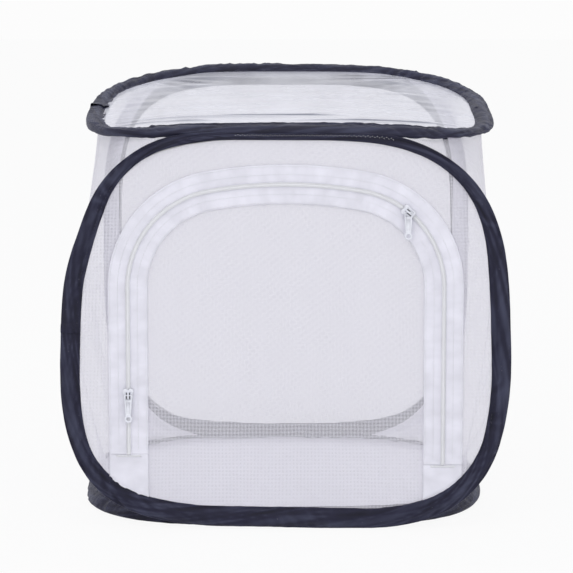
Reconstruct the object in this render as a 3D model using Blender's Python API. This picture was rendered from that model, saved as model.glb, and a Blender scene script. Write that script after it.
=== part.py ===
"""Pop-up mesh insect cage: four sprung hoops in fabric sleeves, mesh walls, a clear top and a zipped door.

Metres, +X to the right, +Y to the rear, +Z up. The origin is on the floor under the middle of the cage.
Each sub-part is one object. An empty on each joint's axis carries the pieces that the joint moves.
"""

import math

import bmesh
import bpy
import numpy as np

MM = 0.001

# Cage, measured over the sleeves
CAGE_DEPTH = 300 * MM
FRONT_WIDTH = 319 * MM
FRONT_HEIGHT = 284 * MM
BACK_WIDTH = 300 * MM
BACK_HEIGHT = 311.5 * MM
BASE_WIDTH = 308 * MM
TOP_WIDTH = 303 * MM
FOOT_LIFT = 1.5 * MM
TOP_SAG = 9 * MM

# How square each hoop is: 2 is an ellipse, and a higher number has tighter corners
FRONT_SQUARENESS = (3.2, 3.4)
BACK_SQUARENESS = (4.0, 3.2)
BASE_SQUARENESS = (2.8, 3.3)
TOP_SQUARENESS = (2.8, 4.5)
FRONT_TAPER = -0.035

# Sleeve, a flat tube of folded cloth, and the sprung wire inside it
SLEEVE_WIDTH = 14.4 * MM
SLEEVE_THICKNESS = 5.2 * MM
CREST_WIDTH = 4.4 * MM
SLEEVE_HEM = 1.0 * MM
SLEEVE_CLOTH = 0.5 * MM
SLEEVE_JOIN = 0.8 * MM
FRONT_LEAN = math.radians(28)
REAR_LEAN = math.radians(-8)
WIRE_DIAMETER = 1.8 * MM
WIRE_END_GAP = 1.0 * MM
FERRULE_BORE = 2.6 * MM
FERRULE_DIAMETER = 3.7 * MM
FERRULE_LENGTH = 20 * MM

# Cloth, mesh and film
MESH_THICKNESS = 0.6 * MM
FILM_THICKNESS = 0.5 * MM
FIT_GAP = 0.3 * MM
SEAM_GAP = 0.5 * MM
WALL_GAP = 0.9 * MM
SLIDER_GAP = 0.4 * MM
SEWN_EDGE = 0.9
WALL_FULLNESS = 16 * MM
TOP_SEAM = 180 * MM
FOOT_SEAM = 120 * MM

# Door and zip: the arch is the line along which the zip's two halves meet
DOOR_WIDTH = 225 * MM
ARCH_TOP = 249 * MM
ARCH_CORNER = 70 * MM
ARCH_CORNER_SWEEP = math.radians(80)
FOLD_HEIGHT = 41 * MM
LEFT_ZIP_END = 53 * MM
RIGHT_ZIP_END = 44 * MM
ZIP_SLOT = 0.8 * MM
TAPE_WIDTH = 13.6 * MM
TAPE_THICKNESS = 0.6 * MM
TAPE_LAP = 10.0 * MM
COIL_WIDTH = 1.8 * MM
COIL_HEIGHT = 1.3 * MM
TACK_WIDTH = 18 * MM
TACK_HEIGHT = 2.0 * MM
TACK_THICKNESS = 0.8 * MM

# Slider and pull
SLIDER_LENGTH = 9.6 * MM
SLIDER_SHOULDER = 7.7 * MM
SLIDER_TAIL = 6.9 * MM
SLIDER_PLATE = 0.9 * MM
SLIDER_POST = 0.3 * MM
BRIDGE_LENGTH = 4.6 * MM
BRIDGE_WIDTH = 0.9 * MM
BRIDGE_BAR = 0.8 * MM
BRIDGE_WINDOW = 1.5 * MM
PULL_LENGTH = 20 * MM
PULL_THICKNESS = 0.7 * MM
PULL_NECK = 5.9 * MM
PULL_WAIST = 3.4 * MM
PULL_EYE = 5.6 * MM
PULL_EYE_HOLE = 2.8 * MM
PULL_SIDE_BAR = 0.6 * MM
PULL_CROSSBAR = 0.7 * MM
PULL_WINDOW = 3.0 * MM
LEFT_SLIDER_HEIGHT = 98 * MM
RIGHT_SLIDER_ANGLE = math.radians(51)

# Stations and facets
HOOP_STATIONS = 56
WIRE_STATIONS = 52
CORNER_STEPS = 18
CROWN_STEPS = 4
WALL_ROWS = 16
WALL_COLUMNS = 16
FILM_RINGS = (0.35, 0.7, 1.0)
TAUT_PASSES = 600

HEX = ((1, 0), (0.5, 1), (-0.5, 1), (-1, 0), (-0.5, -1), (0.5, -1))

HALF_THICKNESS = SLEEVE_THICKNESS / 2
HALF_BAND = SLEEVE_WIDTH / 2
BASE_LEVEL = HALF_THICKNESS

# Depth of each layer in front of the front panel's middle
MESH_FACE = MESH_THICKNESS / 2
TAPE_BACK = MESH_FACE + FIT_GAP
TAPE_FACE = TAPE_BACK + TAPE_THICKNESS
COIL_BACK = TAPE_FACE + FIT_GAP
COIL_FACE = COIL_BACK + COIL_HEIGHT
PLATE_BACK = COIL_FACE + FIT_GAP
PLATE_FACE = PLATE_BACK + SLIDER_PLATE
PULL_AXIS_DEPTH = PLATE_FACE + BRIDGE_WINDOW / 2
BRIDGE_FACE = PLATE_FACE + BRIDGE_WINDOW + BRIDGE_BAR

# The origin is midway between the sliders' faces and the back of the back sleeve
MID_DEPTH = (BRIDGE_FACE - HALF_THICKNESS) / 2
FRONT_PLANE = MID_DEPTH - CAGE_DEPTH / 2
BACK_PLANE = MID_DEPTH + CAGE_DEPTH / 2

MATERIALS = {
    "navy_cloth": ((0.040, 0.043, 0.075), 0.72, 0.0, 1.0),
    "white_mesh": ((0.78, 0.77, 0.83), 0.85, 0.0, 0.62),
    "clear_film": ((0.86, 0.86, 0.91), 0.12, 0.0, 0.35),
    "white_tape": ((0.82, 0.81, 0.87), 0.80, 0.0, 1.0),
    "nylon_coil": ((0.86, 0.86, 0.90), 0.45, 0.0, 1.0),
    "white_enamel": ((0.84, 0.84, 0.90), 0.35, 0.0, 1.0),
    "spring_steel": ((0.42, 0.42, 0.44), 0.35, 1.0, 1.0),
    "zinc_steel": ((0.62, 0.62, 0.63), 0.42, 1.0, 1.0),
}


# Scene, materials and placing


def clear_scene():
    for obj in list(bpy.data.objects):
        bpy.data.objects.remove(obj, do_unlink=True)


def material(name):
    """The named material, made the first time it is asked for."""
    if name in bpy.data.materials:
        return bpy.data.materials[name]
    colour, roughness, metallic, alpha = MATERIALS[name]
    made = bpy.data.materials.new(name)
    made.use_nodes = True
    shader = made.node_tree.nodes["Principled BSDF"]
    shader.inputs["Base Color"].default_value = (*colour, 1.0)
    shader.inputs["Roughness"].default_value = roughness
    shader.inputs["Metallic"].default_value = metallic
    shader.inputs["Alpha"].default_value = alpha
    made.diffuse_color = (*colour, alpha)
    return made


def world_location(obj):
    """Where an unrotated object stands, added up through its parents."""
    place = np.array(obj.location)
    while obj.parent:
        obj = obj.parent
        place = place + np.array(obj.location)
    return place


def put(obj, place, parent=None):
    """Stands the object at a world position, under its parent."""
    bpy.context.scene.collection.objects.link(obj)
    obj.parent = parent
    offset = world_location(parent) if parent else np.zeros(3)
    obj.location = np.asarray(place, float) - offset
    return obj


def axis_empty(name, place, parent=None):
    empty = bpy.data.objects.new(name, None)
    empty.empty_display_size = 10 * MM
    return put(empty, place, parent)


def mesh_object(name, points, faces, cloth, parent=None):
    """A closed mesh from world points, with its origin on its parent's axis."""
    origin = world_location(parent) if parent else np.zeros(3)
    mesh = bpy.data.meshes.new(name)
    mesh.from_pydata([tuple(p) for p in np.asarray(points) - origin], [], [tuple(f) for f in faces])
    shape = bmesh.new()
    shape.from_mesh(mesh)
    bmesh.ops.recalc_face_normals(shape, faces=shape.faces)
    shape.to_mesh(mesh)
    shape.free()
    mesh.shade_smooth()
    mesh.set_sharp_from_angle(angle=math.radians(40))
    mesh.materials.append(material(cloth))
    return put(bpy.data.objects.new(name, mesh), origin, parent)


def plate(name, outlines, thickness, centre, cloth, parent=None, upright=True):
    """A flat sheet: closed outlines, holes among them, filled and extruded about their plane."""
    curve = bpy.data.curves.new(name, "CURVE")
    curve.dimensions = "2D"
    curve.fill_mode = "BOTH"
    curve.extrude = thickness / 2
    for outline in outlines:
        spline = curve.splines.new("POLY")
        spline.points.add(len(outline) - 1)
        for point, (across, up) in zip(spline.points, outline):
            point.co = (across, up, 0, 1)
        spline.use_cyclic_u = True
    curve.materials.append(material(cloth))
    sheet = bpy.data.objects.new(name, curve)
    sheet.rotation_euler = (math.radians(90) if upright else 0, 0, 0)
    return put(sheet, centre, parent)


# Hoops: each function gives a hoop's centre line at an array of angles


def unit(vectors):
    return vectors / np.linalg.norm(vectors, axis=-1, keepdims=True)


def rounded_square(angles, half_width, half_height, squareness):
    """A superellipse whose upper and lower halves may differ in squareness."""
    across, up = np.cos(angles), np.sin(angles)
    power = np.where(up > 0, squareness[0], squareness[1])
    radius = (np.abs(across) ** power + np.abs(up) ** power) ** (-1 / power)
    return half_width * radius * across, half_height * radius * up


def front_line(angles):
    low = FOOT_LIFT + HALF_BAND
    high = FRONT_HEIGHT - CREST_WIDTH / 2
    half_height = (high - low) / 2
    x, z = rounded_square(angles, FRONT_WIDTH / 2 - HALF_BAND, half_height, FRONT_SQUARENESS)
    x = x * (1 + FRONT_TAPER * z / half_height)
    return np.stack([x, np.full_like(x, FRONT_PLANE), z + (high + low) / 2], axis=-1)


def back_line(angles):
    low = FOOT_LIFT + HALF_BAND
    high = BACK_HEIGHT - HALF_BAND
    x, z = rounded_square(angles, BACK_WIDTH / 2 - HALF_BAND, (high - low) / 2, BACK_SQUARENESS)
    return np.stack([x, np.full_like(x, BACK_PLANE), z + (high + low) / 2], axis=-1)


def base_line(angles):
    """The base hoop's edge rests against the upright sleeves, just above their lower edges."""
    slope = HALF_THICKNESS / (HALF_BAND / 2)
    setback = (BASE_LEVEL - FOOT_LIFT) * slope + SEAM_GAP * math.hypot(1, slope)
    half_depth = CAGE_DEPTH / 2 - setback - HALF_BAND
    x, y = rounded_square(angles, BASE_WIDTH / 2 - HALF_BAND, half_depth, BASE_SQUARENESS)
    return np.stack([x, y + MID_DEPTH, np.full_like(x, BASE_LEVEL)], axis=-1)


def top_height(x, y):
    """Height of the top's surface: it climbs to the rear and sags towards its sides."""
    front, rear = top_ends()
    share = (y - front[0]) / (rear[0] - front[0])
    droop = TOP_SAG * (np.abs(x) / (TOP_WIDTH / 2 - HALF_BAND)) ** 3
    return front[1] + share * (rear[1] - front[1]) - droop


def top_ends():
    """(y, z) of the top hoop's centre line over the middle of the front and back hoops."""
    front = (
        FRONT_PLANE + HALF_BAND * math.cos(FRONT_LEAN),
        FRONT_HEIGHT + SEAM_GAP + HALF_BAND * math.sin(FRONT_LEAN),
    )
    rear = (
        BACK_PLANE - HALF_BAND * math.cos(REAR_LEAN),
        BACK_HEIGHT + SEAM_GAP + HALF_BAND * math.sin(REAR_LEAN),
    )
    return front, rear


def top_line(angles):
    front, rear = top_ends()
    x, y = rounded_square(angles, TOP_WIDTH / 2 - HALF_BAND, (rear[0] - front[0]) / 2, TOP_SQUARENESS)
    y = y + (front[0] + rear[0]) / 2
    return np.stack([x, y, top_height(x, y)], axis=-1)


def full_band(points):
    return np.full(len(points), HALF_BAND)


def front_band(points):
    """The front sleeve narrows to its crest, where it is sewn under the top's sleeve."""
    middle = (FRONT_HEIGHT + FOOT_LIFT) / 2
    rise = np.clip((points[:, 2] - middle) / (FRONT_HEIGHT - middle), 0, 1)
    return HALF_BAND - (HALF_BAND - CREST_WIDTH / 2) * rise**3


def no_lean(outward):
    return np.zeros(len(outward))


def top_lean(outward):
    """The top's band dips at the front seam and tips up at the rear one."""
    forward = np.clip(-outward[:, 1], 0, 1)
    rearward = np.clip(outward[:, 1], 0, 1)
    return FRONT_LEAN * forward**2 + REAR_LEAN * rearward**2


# Name, centre line, direction that the hoop faces, band width along it, lean of the band, which side
# of the band looks into the cage, and how far out across it the side walls are sewn halfway along
HOOPS = {
    "base": (base_line, (0, 0, 1), full_band, no_lean, 1, 0.9),
    "front": (front_line, (0, -1, 0), front_band, no_lean, -1, 0.9),
    "top": (top_line, (0, 0, 1), full_band, top_lean, -1, -0.4),
    "back": (back_line, (0, -1, 0), full_band, no_lean, 1, -0.9),
}


def hoop_frames(hoop, angles):
    """Centre, direction out across the band, direction through it, and half-width, at each angle."""
    line, facing, band, lean = HOOPS[hoop][:4]
    step = 1e-4
    centre = line(angles)
    along = unit(line(angles + step) - line(angles - step))
    outward = unit(np.cross(along, np.array(facing, float)))
    through = np.cross(outward, along)
    tip = lean(outward)[:, None]
    leaned = np.cos(tip) * outward - np.sin(tip) * through
    through = np.sin(tip) * outward + np.cos(tip) * through
    return centre, leaned, through, band(centre)


def spread(line, first, last, count):
    """Angles along a line, shared out half by length and half by turning, so corners get more."""
    fine = np.linspace(first, last, 1441)
    steps = np.diff(line(fine), axis=0)
    length = np.linalg.norm(steps, axis=1)
    heading = steps / length[:, None]
    turn = np.zeros_like(length)
    turn[1:] = np.arccos(np.clip((heading[1:] * heading[:-1]).sum(axis=1), -1, 1))
    run = np.concatenate([[0], np.cumsum(length / length.sum() + turn / turn.sum())])
    return np.interp(np.linspace(0, run[-1], count), run, fine)


def angle_step(line, angle, distance):
    """How far the angle turns while the line runs this distance."""
    speed = np.linalg.norm(line(np.array([angle + 0.001])) - line(np.array([angle - 0.001]))) / 0.002
    return distance / speed


def ring_points(centre, outward, through, wide, thick):
    """A six-sided section at each station, half as wide and thick as given."""
    wide, thick = np.broadcast_to(wide, len(centre)), np.broadcast_to(thick, len(centre))
    section = [
        centre + (p * wide)[:, None] * outward + (q * thick)[:, None] * through for p, q in HEX
    ]
    return np.stack(section, axis=1)


def tube_faces(stations, sides, start=0):
    """Side faces of a swept section whose rings follow one another from vertex start."""
    faces = []
    for i in range(stations - 1):
        for j in range(sides):
            k = (j + 1) % sides
            a, b = start + i * sides, start + (i + 1) * sides
            faces.append((a + j, a + k, b + k, b + j))
    return faces


def solid_sweep(rings):
    """Points and faces of a solid bar with flat ends."""
    stations, sides = rings.shape[:2]
    faces = tube_faces(stations, sides)
    faces.append(tuple(range(sides)))
    faces.append(tuple((stations - 1) * sides + j for j in range(sides)))
    return rings.reshape(-1, 3), faces


def hollow_sweep(outer, bore):
    """Points and faces of a tube that is open at both ends."""
    stations, sides = outer.shape[:2]
    inside = stations * sides
    faces = tube_faces(stations, sides) + tube_faces(stations, sides, inside)
    for first in (0, (stations - 1) * sides):
        for j in range(sides):
            k = (j + 1) % sides
            faces.append((first + j, first + k, inside + first + k, inside + first + j))
    return np.concatenate([outer.reshape(-1, 3), bore.reshape(-1, 3)]), faces


def sleeve(hoop, parent):
    """The cloth tube, open where its two ends meet on the left."""
    line = HOOPS[hoop][0]
    half_join = angle_step(line, math.pi, SLEEVE_JOIN / 2)
    angles = spread(line, math.pi + half_join, 3 * math.pi - half_join, HOOP_STATIONS)
    centre, outward, through, wide = hoop_frames(hoop, angles)
    outer = ring_points(centre, outward, through, wide, HALF_THICKNESS)
    bore = ring_points(centre, outward, through, wide - SLEEVE_HEM, HALF_THICKNESS - SLEEVE_CLOTH)
    return mesh_object(f"{hoop}_sleeve", *hollow_sweep(outer, bore), "navy_cloth", parent)


def hoop_wire(hoop, parent):
    """The sprung wire: its two ends face each other inside the ferrule, on the right."""
    line = HOOPS[hoop][0]
    half_gap = angle_step(line, 0, WIRE_END_GAP / 2)
    lead = angle_step(line, 0, FERRULE_LENGTH / 2)
    between = spread(line, lead, 2 * math.pi - lead, WIRE_STATIONS)
    angles = np.concatenate([[half_gap], between, [2 * math.pi - half_gap]])
    centre, outward, through, _ = hoop_frames(hoop, angles)
    rings = round_rings(centre, outward, through, WIRE_DIAMETER)
    return mesh_object(f"{hoop}_hoop_wire", *solid_sweep(rings), "spring_steel", parent)


def round_rings(centre, outward, through, diameter):
    """A regular hexagon of this diameter across its corners, at each station."""
    turn = np.arange(len(HEX)) * math.tau / len(HEX) + math.radians(90)
    spokes = np.cos(turn)[:, None, None] * outward + np.sin(turn)[:, None, None] * through
    return (centre + diameter / 2 * spokes).transpose(1, 0, 2)


def ferrule(hoop, parent):
    """The crimped tube that joins the wire's two ends."""
    line = HOOPS[hoop][0]
    reach = angle_step(line, 0, FERRULE_LENGTH / 2)
    centre, outward, through, _ = hoop_frames(hoop, np.array([-reach, 0, reach]))
    outer = round_rings(centre, outward, through, FERRULE_DIAMETER)
    bore = round_rings(centre, outward, through, FERRULE_BORE)
    return mesh_object(f"{hoop}_hoop_ferrule", *hollow_sweep(outer, bore), "zinc_steel", parent)


def hoop_set(hoop, parent):
    sleeve(hoop, parent)
    hoop_wire(hoop, parent)
    ferrule(hoop, parent)


def inner_edge(hoop, clearance):
    """Points just inside a sleeve's inner edge, one at each of the sleeve's own stations."""
    line = HOOPS[hoop][0]
    angles = spread(line, math.pi, 3 * math.pi, HOOP_STATIONS)[:-1]
    centre, outward, _, wide = hoop_frames(hoop, angles)
    return centre - (wide + clearance)[:, None] * outward


# Panels


def floor_panel(parent):
    edge = inner_edge("base", FIT_GAP)
    outline = edge[:, :2]
    plate("floor_panel", [outline], MESH_THICKNESS, (0, 0, BASE_LEVEL), "white_mesh", parent, upright=False)


def back_panel(parent):
    edge = inner_edge("back", FIT_GAP)
    plate("back_panel", [edge[:, [0, 2]]], MESH_THICKNESS, (0, BACK_PLANE, 0), "white_mesh", parent)


def top_window(parent):
    """The clear film: rings that shrink to its middle, on the top's surface, up to the sleeve's edge."""
    edge = inner_edge("top", FIT_GAP)
    middle = np.array([0, edge[:, 1].mean()])
    lift = edge[:, 2] - top_height(edge[:, 0], edge[:, 1])
    rings = []
    for share in FILM_RINGS:
        spot = middle + share * (edge[:, :2] - middle)
        height = top_height(spot[:, 0], spot[:, 1]) + lift * share**4
        rings.append(np.column_stack([spot, height]))
    hub = np.array([[*middle, top_height(0, middle[1])]])
    sheet = np.concatenate([hub, *rings])
    count, half = len(edge), np.array([0, 0, FILM_THICKNESS / 2])
    upper, faces = len(sheet), []
    for j in range(count):
        k = (j + 1) % count
        faces += [(0, 1 + j, 1 + k), (upper, upper + 1 + k, upper + 1 + j)]
        for ring in range(len(FILM_RINGS) - 1):
            a, b = 1 + ring * count, 1 + (ring + 1) * count
            faces.append((a + j, b + j, b + k, a + k))
            faces.append((upper + a + j, upper + a + k, upper + b + k, upper + b + j))
        rim = 1 + (len(FILM_RINGS) - 1) * count
        faces.append((rim + j, upper + rim + j, upper + rim + k, rim + k))
    points = np.concatenate([sheet - half, sheet + half])
    mesh_object("top_window", points, faces, "clear_film", parent)


def seam_angle(line, seam, toward):
    """The angle at which a hoop leaves its seam, on the right, near the top or the bottom."""
    angles = np.linspace(0, toward * math.pi / 2, 721)
    x = line(angles)[:, 0]
    return np.interp(-seam / 2, -x, angles)


def wall_edge(hoop, seams, count):
    """The line across a sleeve's inner face that a side wall is sewn to, from its low or front end."""
    line = HOOPS[hoop][0]
    inside, halfway = HOOPS[hoop][4:]
    low = seam_angle(line, seams[0], -1)
    high = seam_angle(line, seams[1], 1)
    centre, outward, through, wide = hoop_frames(hoop, spread(line, low, high, count))
    across = SEWN_EDGE - (SEWN_EDGE - halfway) * np.sin(np.linspace(0, math.pi, count)) ** 0.6
    face = HALF_THICKNESS * np.clip(2 * (1 - np.abs(across)), 0, 1)
    stand_off = (face + WALL_GAP + MESH_THICKNESS / 2)[:, None]
    return centre + (across * wide)[:, None] * outward + inside * stand_off * through


def join_ends(curve, first, last):
    """Bends the ends of an edge to shared corners, fading out within a tenth of its length."""
    t = np.linspace(0, 1, len(curve))[:, None]
    return curve + (1 - t) ** 12 * (first - curve[0]) + t**12 * (last - curve[-1])


def wall_surface():
    """The right wall as a grid: four sewn edges, and cloth pulled taut between them."""
    front = wall_edge("front", (FOOT_SEAM, TOP_SEAM), WALL_ROWS + 1)
    back = wall_edge("back", (FOOT_SEAM, TOP_SEAM), WALL_ROWS + 1)
    base = wall_edge("base", (FOOT_SEAM, FOOT_SEAM), WALL_COLUMNS + 1)
    top = wall_edge("top", (TOP_SEAM, TOP_SEAM), WALL_COLUMNS + 1)
    corners = [
        [(front[0] + base[0]) / 2, (back[0] + base[-1]) / 2],
        [(front[-1] + top[0]) / 2, (back[-1] + top[-1]) / 2],
    ]
    front = join_ends(front, corners[0][0], corners[1][0])
    back = join_ends(back, corners[0][1], corners[1][1])
    base = join_ends(base, corners[0][0], corners[0][1])
    top = join_ends(top, corners[1][0], corners[1][1])
    grid = np.zeros((WALL_ROWS + 1, WALL_COLUMNS + 1, 3))
    grid[:] = (front[-1] + back[0]) / 2
    grid[:, 0], grid[:, -1] = front, back
    grid[0], grid[-1] = base, top
    for _ in range(TAUT_PASSES):
        beside = grid[1:-1, :-2] + grid[1:-1, 2:] + grid[:-2, 1:-1] + grid[2:, 1:-1]
        grid[1:-1, 1:-1] = beside / 4
    rise, run = np.linspace(0, math.pi, WALL_ROWS + 1), np.linspace(0, math.pi, WALL_COLUMNS + 1)
    grid[:, :, 0] += WALL_FULLNESS * np.outer(np.sin(rise), np.sin(run))
    return grid


def side_wall(name, side, parent):
    """A mesh wall without a hoop of its own, sewn to all four sleeves."""
    grid = wall_surface() * np.array([side, 1, 1])
    rise, run = np.gradient(grid, axis=(0, 1))
    normal = unit(np.cross(run, rise))
    rows, columns = grid.shape[:2]
    both = [(grid + half * normal).reshape(-1, 3) for half in (MESH_THICKNESS / 2, -MESH_THICKNESS / 2)]
    back = rows * columns
    faces = []
    for i in range(rows - 1):
        for j in range(columns - 1):
            a, b = i * columns + j, (i + 1) * columns + j
            faces.append((a, a + 1, b + 1, b))
            faces.append((back + a, back + b, back + b + 1, back + a + 1))
    rim = [(0, j) for j in range(columns)] + [(i, columns - 1) for i in range(1, rows)]
    rim += [(rows - 1, j) for j in range(columns - 2, -1, -1)] + [(i, 0) for i in range(rows - 2, 0, -1)]
    numbers = [i * columns + j for i, j in rim]
    for here, there in zip(numbers, numbers[1:] + numbers[:1]):
        faces.append((here, back + here, back + there, there))
    mesh_object(name, np.concatenate(both), faces, "white_mesh", parent)


# Door and zip, drawn in the front panel's plane as (x, z)


def arch_sizes():
    """Radius of the crown, centre height of the corners and of the crown."""
    rest = math.pi / 2 - ARCH_CORNER_SWEEP
    crown = (DOOR_WIDTH / 2 - ARCH_CORNER * (1 - math.cos(ARCH_CORNER_SWEEP))) / math.sin(rest)
    spring = ARCH_TOP - crown * (1 - math.cos(rest)) - ARCH_CORNER * math.sin(ARCH_CORNER_SWEEP)
    return crown, spring, ARCH_TOP - crown


def arc(centre, radius, first, last, steps):
    turn = np.linspace(first, last, steps + 1)
    return [(centre[0] + radius * math.cos(a), centre[1] + radius * math.sin(a)) for a in turn]


def arch(offset, left_foot, right_foot):
    """The zip's line from its left foot over to its right one, moved outwards by the offset."""
    crown, spring, crown_centre = arch_sizes()
    sweep = ARCH_CORNER_SWEEP
    inset = DOOR_WIDTH / 2 - ARCH_CORNER
    corner = ARCH_CORNER + offset
    left = arc((-inset, spring), corner, math.pi, math.pi - sweep, CORNER_STEPS)
    top = arc((0, crown_centre), crown + offset, math.pi - sweep, sweep, CROWN_STEPS)
    right = arc((inset, spring), corner, sweep, 0, CORNER_STEPS)
    reach = DOOR_WIDTH / 2 + offset
    return [(-reach, left_foot), *left, *top[1:-1], *right, (reach, right_foot)]


def tape_inner_reach():
    """Half the width between the inner edges of the door's tape, which the facings line up with."""
    return DOOR_WIDTH / 2 - ZIP_SLOT / 2 - TAPE_WIDTH


def zip_feet(clearance):
    return LEFT_ZIP_END + clearance, RIGHT_ZIP_END + clearance


def stepped_arch(offset, step, foot, feet):
    """An arch that steps in below the zip's feet, so that the door swings out between the facings."""
    return [(-step, foot), (-step, feet[0]), *arch(offset, *feet), (step, feet[1]), (step, foot)]


def front_panel(parent):
    """The front mesh: its doorway stops under the outer tape, and its lower part is behind the facings."""
    lap = ZIP_SLOT / 2 + TAPE_WIDTH - TAPE_LAP
    outline = inner_edge("front", FIT_GAP)[:, [0, 2]]
    doorway = stepped_arch(lap, tape_inner_reach(), FOLD_HEIGHT, zip_feet(0))
    plate("front_panel", [outline, doorway], MESH_THICKNESS, (0, FRONT_PLANE, 0), "white_mesh", parent)


def door_panel(parent):
    """The mesh flap, folded along its lower edge and sewn behind the inner tape."""
    lap = ZIP_SLOT / 2 + TAPE_WIDTH - TAPE_LAP
    step = tape_inner_reach() - FIT_GAP
    outline = stepped_arch(-lap, step, FOLD_HEIGHT + FIT_GAP, zip_feet(FIT_GAP * 3))
    plate_at(parent, "door_panel", [outline], 0, MESH_THICKNESS, "white_mesh")


def plate_at(parent, name, outlines, depth, thickness, cloth):
    """A plate in front of the front panel's middle, drawn in world x and z but standing on its axis."""
    origin = world_location(parent)
    moved = [[(x - origin[0], z - origin[2]) for x, z in outline] for outline in outlines]
    plate(name, moved, thickness, (origin[0], FRONT_PLANE - depth, origin[2]), cloth, parent)


def zip_tape(name, near, far, feet, parent):
    """Half of the zip's woven tape, between two offsets from the zip's line."""
    outline = arch(far, *feet) + arch(near, *feet)[::-1]
    plate_at(parent, name, [outline], (TAPE_BACK + TAPE_FACE) / 2, TAPE_THICKNESS, "white_tape")


def zip_coil(name, near, far, feet, parent):
    """One row of the nylon coil: a low rounded bead along the tape's edge."""
    middle = (near + far) / 2
    shoulder = COIL_WIDTH / 4
    profile = [
        (near, COIL_BACK),
        (near, (COIL_BACK + COIL_FACE) / 2),
        (middle + math.copysign(shoulder, near - far), COIL_FACE),
        (middle - math.copysign(shoulder, near - far), COIL_FACE),
        (far, (COIL_BACK + COIL_FACE) / 2),
        (far, COIL_BACK),
    ]
    lines = [[(x, FRONT_PLANE - depth, z) for x, z in arch(offset, *feet)] for offset, depth in profile]
    rings = np.array(lines).transpose(1, 0, 2)
    mesh_object(name, *solid_sweep(rings), "nylon_coil", parent)


def zip_half(side, sign, parent):
    """Tape and coil on one side of the zip's line: sign 1 is the cage's side, and -1 the door's."""
    edge = sign * ZIP_SLOT / 2
    feet = zip_feet(FIT_GAP * 3)
    zip_tape(f"zip_tape_{side}", edge, edge + sign * TAPE_WIDTH, feet, parent)
    zip_coil(f"zip_coil_{side}", edge, edge + sign * COIL_WIDTH, feet, parent)


def sleeve_lip(x):
    """Height of the front sleeve's inner edge above the floor at this distance from the middle."""
    edge = inner_edge("front", 0)
    low = edge[(edge[:, 2] < FRONT_HEIGHT / 2) & (edge[:, 0] > 0)]
    order = np.argsort(low[:, 0])
    return float(np.interp(abs(x), low[order, 0], low[order, 2]))


def facing(name, side, top, parent):
    """The cloth strip below a zip's end, stopping where the bottom sleeve starts."""
    outer = DOOR_WIDTH / 2 + ZIP_SLOT / 2 + TAPE_WIDTH
    inner = tape_inner_reach()
    low_inner = sleeve_lip(inner) + FIT_GAP * 2
    low_outer = sleeve_lip(outer) + FIT_GAP * 2
    middle = (inner + outer) / 2
    outline = [
        (side * inner, low_inner),
        (side * middle, sleeve_lip(middle) + FIT_GAP * 2),
        (side * outer, low_outer),
        (side * outer, top),
        (side * inner, top),
    ]
    plate_at(parent, name, [outline], (TAPE_BACK + TAPE_FACE) / 2, TAPE_THICKNESS, "white_tape")


def bar_tack(name, side, top, parent):
    """The dense bar of stitches across the zip's end, on the facing."""
    centre = side * DOOR_WIDTH / 2
    left, right = centre - TACK_WIDTH / 2, centre + TACK_WIDTH / 2
    high = top - FIT_GAP
    outline = [(left, high - TACK_HEIGHT), (right, high - TACK_HEIGHT), (right, high), (left, high)]
    depth = TAPE_FACE + FIT_GAP + TACK_THICKNESS / 2
    plate_at(parent, name, [outline], depth, TACK_THICKNESS, "white_tape")


# Sliders and pulls, drawn with the zip's line as their own upright axis


def slider_stations():
    """(distance up the zip, half-width) from the slider's tail to its two-lobed shoulder."""
    half = SLIDER_LENGTH / 2
    tail, shoulder = SLIDER_TAIL / 2, SLIDER_SHOULDER / 2
    return [(-half, tail * 0.92), (-half * 0.8, tail), (0, tail), (half * 0.45, shoulder), (half, shoulder * 0.9)]


def slider_shell(shape, wall):
    """The front plate with a flange down each side, as one channel lofted along the zip."""
    rings = []
    for up, half_width in slider_stations():
        inside = half_width - wall
        crown = PLATE_FACE
        edge = PLATE_FACE - SLIDER_PLATE * 0.4
        profile = [
            (-half_width, COIL_BACK),
            (-half_width, edge),
            (-half_width * 0.72, crown),
            (half_width * 0.72, crown),
            (half_width, edge),
            (half_width, COIL_BACK),
            (inside, COIL_BACK),
            (inside, PLATE_BACK),
            (-inside, PLATE_BACK),
            (-inside, COIL_BACK),
        ]
        rings.append([shape.verts.new((across, -depth, up)) for across, depth in profile])
    sides = len(rings[0])
    for low, high in zip(rings, rings[1:]):
        for j in range(sides):
            k = (j + 1) % sides
            shape.faces.new((low[j], low[k], high[k], high[j]))
    shape.faces.new(rings[0])
    shape.faces.new(rings[-1])


def box_into(shape, low, high):
    """A box between two corners, for a Boolean union."""
    made = bmesh.ops.create_cube(shape, size=1)["verts"]
    low, high = np.array(low), np.array(high)
    for vert in made:
        vert.co = (low + high) / 2 + np.array(vert.co) * (high - low)


def bridge_into(shape):
    """The arched bridge that holds the pull: a bar bent over the plate, swept along a low arch."""
    half, bar = BRIDGE_LENGTH / 2, BRIDGE_BAR
    top = BRIDGE_FACE
    foot = PLATE_FACE - SLIDER_PLATE / 2
    outer = [(-half, foot), (-half, top - bar), (-half + bar, top), (half - bar, top), (half, top - bar), (half, foot)]
    bend = bar * 0.4
    inner = [
        (half - bar, foot),
        (half - bar, top - bar - bend),
        (half - bar - bend, top - bar),
        (-half + bar + bend, top - bar),
        (-half + bar, top - bar - bend),
        (-half + bar, foot),
    ]
    rings = []
    for across in (-BRIDGE_WIDTH / 2, BRIDGE_WIDTH / 2):
        rings.append([shape.verts.new((across, -depth, up)) for up, depth in outer + inner])
    count = len(rings[0])
    for j in range(count):
        k = (j + 1) % count
        shape.faces.new((rings[0][j], rings[0][k], rings[1][k], rings[1][j]))
    shape.faces.new(rings[0])
    shape.faces.new(rings[1])


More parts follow.
